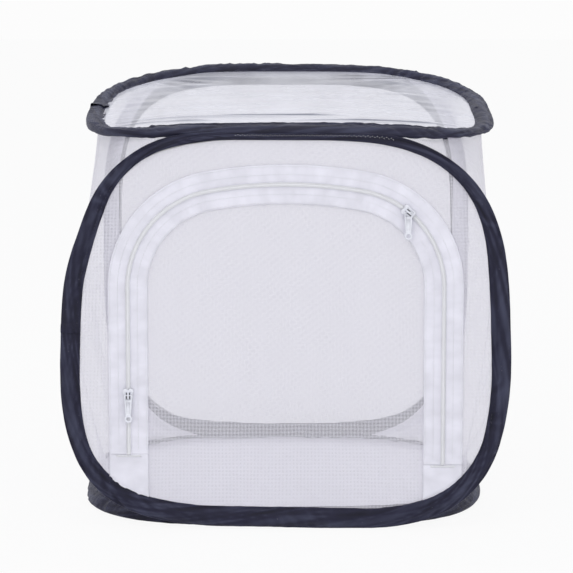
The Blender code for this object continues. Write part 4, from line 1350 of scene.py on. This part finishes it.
def sleeve_lip(x):
    """Height of the front sleeve's inner edge along the bottom."""
    edge = inner_edge("front", np.linspace(-math.pi, 0, 800), 0)
    low = edge[:, 2] < 0.1
    return np.interp(x, edge[low, 0], edge[low, 2])


def facing_cloth(name, side, top, seed):
    """The cloth strip below a zip's end, down to the bottom sleeve."""
    inner, outer = FACING_REACH, DOOR_WIDTH / 2 + ZIP_SLOT / 2 + TAPE_WIDTH
    columns, rows = 26, 44
    across = np.linspace(inner, outer, columns)
    low = (sleeve_lip(side * across) - FACING_TUCK)[None, :]
    t = np.linspace(0, 1, rows)[:, None]
    x = side * np.broadcast_to(across[None, :], (rows, columns))
    z = low * (1 - t) + (top + FACING_TOP) * t
    tucked = clamp((z - low) / (5 * MM)) ** 1.5
    free = clamp((top - z) / (4 * MM))
    drape = noise(seed, x / (8 * MM), z / (9 * MM))
    drape = drape + ridged(seed + 1, (x * side + z) / (9 * MM), x / (30 * MM)) * 0.8
    depth = FACING_BACK + FACING_RISE * tucked + FACING_DRAPE * drape * tucked * free
    grid = np.stack([x, FRONT_PLANE - depth, z], axis=-1)
    piece = grid_piece(name, grid, "white_tape", panel_uv(grid, (2, 0)), flip=side < 0)
    thicken(piece, FACING_THICKNESS, 0)
    fit(piece, "front", name.replace("_cloth", ""))


# Stitches and bar tacks

# A stitch's rings: share of its length, lift off the cloth, and fatness
STITCH_RINGS = (
    (0.0, -0.5, 0.35), (0.2, 0.6, 0.9), (0.5, 1.0, 1.0), (0.8, 0.6, 0.9), (1.0, -0.5, 0.35),
)
# Five points round a ring, as shares of its width and height
STITCH_CORNERS = ((1, 0), (0.4, 1), (-0.4, 1), (-1, 0), (0, -0.7))


def stitch_points(start, end, rise, normal, width, height):
    """Points of one stitch: it dips into the cloth at both ends and stands proud between them."""
    points = []
    for share, lift, fat in STITCH_RINGS:
        middle = start + share * (end - start) + normal * height * lift
        for across, up in STITCH_CORNERS:
            points.append(middle + normal * height * up * fat + rise * width * across * fat)
    return points


def stitch_piece(name, starts, ends, normals, thread, width, height):
    """A row of stitches as one piece."""
    points, faces, uv = [], [], []
    for start, end, normal in zip(starts, ends, normals):
        rise = unit(np.cross(end - start, normal))
        base = len(points)
        points += stitch_points(start, end, rise, normal, width, height)
        stitch_length = np.linalg.norm(end - start)
        uv += [(stitch_length * i / 4, k * 0.15 * MM) for i in range(5) for k in range(5)]
        for i in range(base, base + 20, 5):
            faces += [[i + k, i + (k + 1) % 5, i + 5 + (k + 1) % 5, i + 5 + k] for k in range(5)]
        faces += [[base + end_ring + k for k in range(5)] for end_ring in (0, 20)]
    piece = mesh_piece(name, np.array(points), faces, thread, np.array(uv))
    face_outwards(piece)
    return piece


def white_stitches(name, body, starts, ends, width, height, replaced=None):
    """White thread on the face of the front."""
    normals = np.tile([0.0, -1.0, 0.0], (len(starts), 1))
    piece = stitch_piece(name, starts, ends, normals, "white_thread", width, height)
    fit(piece, body, replaced)


def row_of_stitches(line, pitch, gap):
    """Start and end of each stitch along a line of points."""
    run = run_length(line)
    count = int(run[-1] / pitch)
    begin = (np.arange(count) + 0.5 * gap / pitch) * run[-1] / count
    return at_distances(line, run, begin), at_distances(line, run, begin + pitch - gap)


def sew_sleeve_stitches(hoop):
    """A row of stitches along the flange, on both faces of the sleeve."""
    pitch = bpy.context.scene.cage_sizes.stitch
    angles = even_angles(HOOPS[hoop][0], math.pi + 0.02, 3 * math.pi - 0.02, SLEEVE_STATIONS)
    centre, outward, through, half = hoop_frames(hoop, angles)
    height = (float(band_profile(np.array([STITCHES_ACROSS]))[0]) + 0.12) * MM
    rows = []
    for face in (1, -1):
        row = centre + STITCHES_ACROSS * half[:, None] * outward + face * height * through
        begin, stop = row_of_stitches(row, pitch, 0.7 * MM)
        run = run_length(row)
        at = np.linspace(0, run[-1], len(begin))
        rows.append((begin, stop, face * unit(at_distances(through, run, at))))
    starts, ends, normals = (np.concatenate(part) for part in zip(*rows))
    name = f"{hoop}_sleeve_stitches"
    piece = stitch_piece(name, starts, ends, normals, "navy_thread", 0.17 * MM, 0.16 * MM)
    fit(piece, hoop)


def crest_stitches():
    """White zigzag stitches that hold the top's sleeve to the front's, along the crest."""
    count = 70
    angles = even_angles(HOOPS["front"][0], math.radians(62), math.radians(104), count)
    centre, outward, _, half = hoop_frames("front", angles)
    wide = np.where(np.arange(count) % 2, 0.7, 0.2)
    row = centre + (wide * half)[:, None] * outward
    row[:, 1] = FRONT_PLANE - 1.75 * MM
    starts, ends = row[:-1], row[:-1] + 0.5 * (row[1:] - row[:-1])
    white_stitches("crest_stitches", "front", starts, ends, 0.1 * MM, 0.2 * MM)


def tape_stitches(half, body, side):
    """Two rows along one half of the tape."""
    points, _, out, _ = zip_frames(900)
    rows = []
    for offset in TAPE_ROWS:
        flat = points + side * offset * out
        depth = np.full(len(flat), FRONT_PLANE - TAPE_FACE + 0.02 * MM)
        row = np.stack([flat[:, 0], depth, flat[:, 1]], axis=1)[6:-6]
        rows.append(row_of_stitches(row, bpy.context.scene.cage_sizes.stitch, 0.6 * MM))
    starts, ends = (np.concatenate(part) for part in zip(*rows))
    white_stitches(f"zip_stitches_{half}", body, starts, ends, 0.15 * MM, 0.12 * MM)


def bar_tack(name, side, top):
    """Dense zigzag of thread across a zip's end, over two lengthwise strands."""
    centre, reach = side * DOOR_WIDTH / 2, TACK_REACH
    levels = (top - TACK_RISE, top + TACK_RISE)
    depth = FRONT_PLANE - TAPE_FACE - 0.02 * MM
    across = np.linspace(centre - reach, centre + reach, 34)
    starts = [(x, depth, levels[(k + 1) % 2]) for k, x in enumerate(across[:-1])]
    ends = [(x, depth, levels[k % 2]) for k, x in enumerate(across[1:])]
    for level in (levels[0] + 0.3 * MM, levels[1] - 0.3 * MM):
        for k in range(6):
            left = centre - reach + 2 * reach * k / 6
            starts.append((left, depth + 0.15 * MM, level))
            ends.append((left + 2 * reach / 6, depth + 0.15 * MM, level))
    replaced = name.replace("_thread", "")
    white_stitches(name, "front", np.array(starts), np.array(ends), 0.34 * MM, 0.2 * MM, replaced)


# Sliders and pulls, modelled upright at the origin with the zip's line as their own upright axis


def keep_place(turned=True):
    """Moves an object's place, size and turn into its mesh."""
    bpy.ops.object.transform_apply(location=True, rotation=turned, scale=True)


def solid_box(low, high):
    """A box between two corners given in millimetres as (across, depth, up)."""
    low, high = np.array(low, float) * MM, np.array(high, float) * MM
    bpy.ops.mesh.primitive_cube_add(size=1)
    made = bpy.context.object
    made.scale = high - low
    middle = (low + high) / 2
    made.location = (middle[0], -middle[1], middle[2])
    keep_place(turned=False)
    return made


def solid_disc(across, up, radius, near, far):
    """A disc that faces the viewer, from one depth to another, in millimetres."""
    bpy.ops.mesh.primitive_cylinder_add(vertices=28, radius=radius * MM, depth=abs(far - near) * MM)
    made = bpy.context.object
    made.rotation_euler = (math.pi / 2, 0, 0)
    made.location = (across * MM, -(near + far) / 2 * MM, up * MM)
    keep_place()
    return made


def combine(body, other, operation="DIFFERENCE"):
    """Cuts a second solid out of the first, or joins it to the first, and removes it."""
    apply_modifier(body, "BOOLEAN", operation=operation, solver="EXACT", object=other)
    bpy.data.objects.remove(other, do_unlink=True)
    return body


def taper(body, below, factor):
    """Narrows the part of a solid below a height, in edit mode."""
    select_only(body)
    for part in (body.data.polygons, body.data.edges):
        part.foreach_set("select", [False] * len(part))
    chosen = [vertex.co.z < below * MM for vertex in body.data.vertices]
    body.data.vertices.foreach_set("select", chosen)
    bpy.ops.object.mode_set(mode="EDIT")
    bpy.ops.mesh.select_mode(type="VERT")
    bpy.ops.transform.resize(value=(factor, 1, 1), center_override=(0, 0, 0))
    bpy.ops.object.mode_set(mode="OBJECT")


def soften(body, width, segments=2):
    """Rounds a solid's sharp edges."""
    apply_modifier(
        body, "BEVEL", width=width * MM, segments=segments, limit_method="ANGLE",
        use_clamp_overlap=True,
    )
    bpy.ops.object.shade_smooth_by_angle(angle=math.radians(35))
    return body


def put_on_zip(body, name, place, turn, rides, replaced=None, material="white_enamel"):
    """Moves a finished solid to its place, gives it its body and finish, and puts it in place of
    the solid it replaces.
    """
    body.name = name
    body.rotation_euler = (0, turn, 0)
    body.location = place
    select_only(body)
    keep_place()
    close_poles(body)
    body.data.validate()
    body.data.materials.clear()
    body.data.materials.append(finish(material))
    fit(body, rides, replaced)


def slider_body():
    """Round shoulders and a tail, hollow for the coils, with a slot at each side of the bridge."""
    made = solid_box((-3.35, SHELL_BACK, -4.8), (3.35, PLATE_FACE, 2.6))
    taper(made, -1, 0.9)
    for side in (-1, 1):
        combine(made, solid_disc(side * 1.85, 2.75, 2.0, SHELL_BACK, PLATE_FACE), "UNION")
    combine(made, solid_box((-2.75, 1.0, -6), (2.75, PLATE_BACK, 6)))
    for low, high in ((-1.5, -0.62), (0.62, 1.5)):
        combine(made, solid_box((low, 3.0, -2.9), (high, 5.0, 1.9)))
    return soften(made, 0.16)


def slider_bridge():
    """The arched bar over the plate that holds the pull."""
    made = solid_box((-0.5, PLATE_FACE - 0.5, -2.3), (0.5, PLATE_FACE + 2.3, 2.3))
    combine(made, solid_box((-1, PLATE_FACE - 1, -1.5), (1, PLATE_FACE + 1.5, 1.5)))
    return soften(made, 0.28, 3)


def pull_tab():
    """A tapered tab with a window round the bridge at its neck and a ringed eye at its free end."""
    half, eye = 0.35, -17.2
    made = solid_box((-2.95, -half, -15.5), (2.95, half, 0.35))
    taper(made, -1, 0.62)
    combine(made, solid_disc(0, eye, 2.8, -half, half), "UNION")
    combine(made, solid_disc(0, eye, 1.4, -1, 1))
    combine(made, solid_box((-2.1, -1, -3.35), (2.1, 1, -0.35)))
    combine(made, solid_box((-1.25, 0.2, -12.6), (1.25, 1, -5.2)))
    soften(made, 0.14)
    bpy.ops.mesh.primitive_torus_add(
        major_radius=2.1 * MM, minor_radius=0.42 * MM, major_segments=32, minor_segments=8,
        rotation=(math.pi / 2, 0, 0),
    )
    ring = bpy.context.object
    ring.location = (0, -0.3 * MM, eye * MM)
    keep_place()
    return combine(made, ring, "UNION")


def fit_slider(side, place, turn):
    """A slider with its bridge, a dark plate in its slots as painted shade, and the pull that hangs
    from it.
    """
    slider, pull = f"{side}_slider", f"{side}_pull"
    put_on_zip(slider_body(), f"{slider}_body", place, turn, slider, slider)
    put_on_zip(slider_bridge(), f"{slider}_bridge", place, turn, slider)
    # A dark plate behind the slots: painted shade where the slots are deep
    slot_shade = solid_box((-1.9, PLATE_BACK + 0.02, -3.3), (1.9, PLATE_BACK + 0.22, 2.3))
    soften(slot_shade, 0.05, 1)
    put_on_zip(slot_shade, f"{slider}_recess", place, turn, slider, material="painted_slot_shade")
    axis = np.asarray(place) + np.array([0, -(PLATE_FACE + 0.75) * MM, 0])
    put_on_zip(pull_tab(), f"{pull}_tab", axis, 0, pull, pull)


def fit_sliders():
    """The left slider stands on the zip's straight side, the right one on its corner."""
    fit_slider("left", (-DOOR_WIDTH / 2, FRONT_PLANE, LEFT_SLIDER_HEIGHT), 0)
    across = DOOR_WIDTH / 2 - ARCH_CORNER + ARCH_CORNER * math.cos(RIGHT_SLIDER_ANGLE)
    height = arch_sizes()[1] + ARCH_CORNER * math.sin(RIGHT_SLIDER_ANGLE)
    fit_slider("right", (across, FRONT_PLANE, height), -RIGHT_SLIDER_ANGLE)


# Stage


def floor_finish():
    """Pale floor that keeps a faint shadow under the cage."""
    made = Finish("stage_floor", (0.93, 0.93, 0.93), 0.9, Specular_IOR_Level=0.1)
    made.vary("Roughness", made.noise(made.object_place(), 3, 2), 0.85, 0.95)
    glow = made.add("ShaderNodeEmission", in_0=(0.976, 0.976, 0.976, 1), in_1=1.0).outputs[0]
    share = made.math("MULTIPLY", made.seen_directly(), 0.93)
    mix = made.add("ShaderNodeMixShader", in_0=share, in_1=made.shader.outputs[0], in_2=glow)
    made.fill(made.tree.nodes["Material Output"].inputs["Surface"], mix.outputs[0])
    return made.material


def room_light(scene, strength):
    """A white background to look at, and a plain softer light from all round."""
    scene.world = bpy.data.worlds.new("room")
    made = Nodes(scene.world)
    light = made.tree.nodes["Background"]
    light.inputs["Color"].default_value = (0.97, 0.98, 1, 1)
    light.inputs["Strength"].default_value = strength
    seen = made.add("ShaderNodeBackground", in_0=(0.975, 0.975, 0.975, 1), in_1=1.0).outputs[0]
    share = made.seen_directly()
    mix = made.add("ShaderNodeMixShader", in_0=share, in_1=light.outputs[0], in_2=seen)
    made.fill(made.tree.nodes["World Output"].inputs["Surface"], mix.outputs[0])


def lamp(name, place, target, size, power):
    light = bpy.data.lights.new(name, "AREA")
    light.shape = "DISK"
    light.size = size
    light.energy = power
    obj = bpy.data.objects.new(name, light)
    obj.location = place
    aim = np.array(target) - np.array(place)
    flat = math.hypot(aim[0], aim[1])
    obj.rotation_euler = (math.pi / 2 - math.atan2(-aim[2], flat), 0, math.atan2(-aim[0], aim[1]))
    bpy.context.scene.collection.objects.link(obj)


def set_camera(scene, settings):
    camera = bpy.data.cameras.new("camera")
    camera.lens = settings.lens
    camera.sensor_width = 36
    camera.clip_end = 50
    obj = bpy.data.objects.new("camera", camera)
    obj.location = (0.5 * MM, FRONT_PLANE - settings.distance, settings.height)
    obj.rotation_euler = (math.pi / 2 - settings.pitch, 0, 0)
    scene.collection.objects.link(obj)
    scene.camera = obj


# Operators


class CageOperator:
    bl_options = {"REGISTER", "UNDO"}

    def execute(self, context):
        deselect_all()
        self.make(context)
        return {"FINISHED"}


class CAGE_OT_stage(CageOperator, bpy.types.Operator):
    """Set the floor, the lights and the camera"""

    bl_idname = "cage.stage"
    bl_label = "Stage"

    def make(self, context):
        settings = context.scene.cage_stage
        bpy.ops.mesh.primitive_plane_add(size=12, location=(0, 0, 0))
        floor = context.object
        floor.name = "stage_floor"
        floor.data.materials.append(floor_finish())
        room_light(context.scene, settings.sky)
        lamp("key_lamp", (-0.5, -1.5, 2.2), (0, 0, 0.15), 1.8, settings.key)
        lamp("fill_lamp", (1.9, -0.9, 1.3), (0, 0, 0.15), 1.6, settings.fill)
        set_camera(context.scene, settings)
        context.scene.view_settings.view_transform = "Standard"


class CAGE_OT_sleeves(CageOperator, bpy.types.Operator):
    """Sew the four cloth sleeves round their hoops"""

    bl_idname = "cage.sleeves"
    bl_label = "Sleeves"

    def make(self, context):
        for hoop in HOOPS:
            sew_sleeve(hoop)
            sew_sleeve_stitches(hoop)
        crest_stitches()


class CAGE_OT_panels(CageOperator, bpy.types.Operator):
    """Stretch the floor, back, front and door mesh"""

    bl_idname = "cage.panels"
    bl_label = "Mesh panels"

    def make(self, context):
        floor_mesh()
        back_mesh()
        front_mesh()
        door_mesh()


class CAGE_OT_walls(CageOperator, bpy.types.Operator):
    """Hang the two side walls between the sleeves"""

    bl_idname = "cage.walls"
    bl_label = "Side walls"

    def make(self, context):
        hang_wall("left_wall_mesh", -1, 121)
        hang_wall("right_wall_mesh", 1, 131)


class CAGE_OT_window(CageOperator, bpy.types.Operator):
    """Lay the creased clear film in the top hoop"""

    bl_idname = "cage.window"
    bl_label = "Film window"

    def make(self, context):
        top_film()


class CAGE_OT_zip(CageOperator, bpy.types.Operator):
    """Sew the zip's tapes and wind its two coils"""

    bl_idname = "cage.zip"
    bl_label = "Zip"

    def make(self, context):
        near, far = 0.12 * MM, ZIP_SLOT / 2 + TAPE_WIDTH
        tape_strip("outer", "front", near, far, 141)
        tape_strip("inner", "door", -near, -far, 151)
        coil_row("outer", "front", 1, 0.0)
        coil_row("inner", "door", -1, 0.5)
        tape_stitches("outer", "front", 1)
        tape_stitches("inner", "door", -1)


class CAGE_OT_facings(CageOperator, bpy.types.Operator):
    """Sew the facings below the zip's ends and tack across them"""

    bl_idname = "cage.facings"
    bl_label = "Facings and bar tacks"

    def make(self, context):
        facing_cloth("left_facing_cloth", -1, LEFT_ZIP_END, 161)
        facing_cloth("right_facing_cloth", 1, RIGHT_ZIP_END, 171)
        bar_tack("left_bar_tack_thread", -1, LEFT_ZIP_END)
        bar_tack("right_bar_tack_thread", 1, RIGHT_ZIP_END)


class CAGE_OT_sliders(CageOperator, bpy.types.Operator):
    """Model the two sliders and their pulls"""

    bl_idname = "cage.sliders"
    bl_label = "Sliders and pulls"

    def make(self, context):
        fit_sliders()


class CAGE_OT_metal(CageOperator, bpy.types.Operator):
    """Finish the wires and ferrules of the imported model"""

    bl_idname = "cage.metal"
    bl_label = "Metal parts"

    def make(self, context):
        steels = {"_hoop_wire": "spring_steel", "_ferrule": "zinc_steel"}
        for name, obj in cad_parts.items():
            for ending, steel in steels.items():
                if name.endswith(ending):
                    obj.data.materials.clear()
                    obj.data.materials.append(finish(steel))


STEPS = (
    CAGE_OT_stage,
    CAGE_OT_sleeves,
    CAGE_OT_panels,
    CAGE_OT_walls,
    CAGE_OT_window,
    CAGE_OT_zip,
    CAGE_OT_facings,
    CAGE_OT_sliders,
    CAGE_OT_metal,
)


class CAGE_PT_panel(bpy.types.Panel):
    """Lists the cage's steps, sizes and colours"""

    bl_idname = "CAGE_PT_panel"
    bl_label = "Mesh insect cage"
    bl_space_type = "VIEW_3D"
    bl_region_type = "UI"
    bl_category = "Cage"

    def draw(self, context):
        for step in STEPS:
            self.layout.operator(step.bl_idname)
        for group_name in GROUPS:
            group = getattr(context.scene, group_name)
            for name in group.__annotations__:
                self.layout.prop(group, name)


GROUPS = {"cage_sizes": CageSizes, "cage_colours": CageColours, "cage_stage": StageSettings}


def register():
    for name, group in GROUPS.items():
        bpy.utils.register_class(group)
        setattr(bpy.types.Scene, name, bpy.props.PointerProperty(type=group))
    for step in STEPS:
        bpy.utils.register_class(step)
    bpy.utils.register_class(CAGE_PT_panel)


def unregister():
    bpy.utils.unregister_class(CAGE_PT_panel)
    for step in reversed(STEPS):
        bpy.utils.unregister_class(step)
    for name, group in GROUPS.items():
        delattr(bpy.types.Scene, name)
        bpy.utils.unregister_class(group)


def main():
    register()
    for step in STEPS:
        group, name = step.bl_idname.split(".")
        getattr(getattr(bpy.ops, group), name)()


if __name__ == "__main__":
    main()
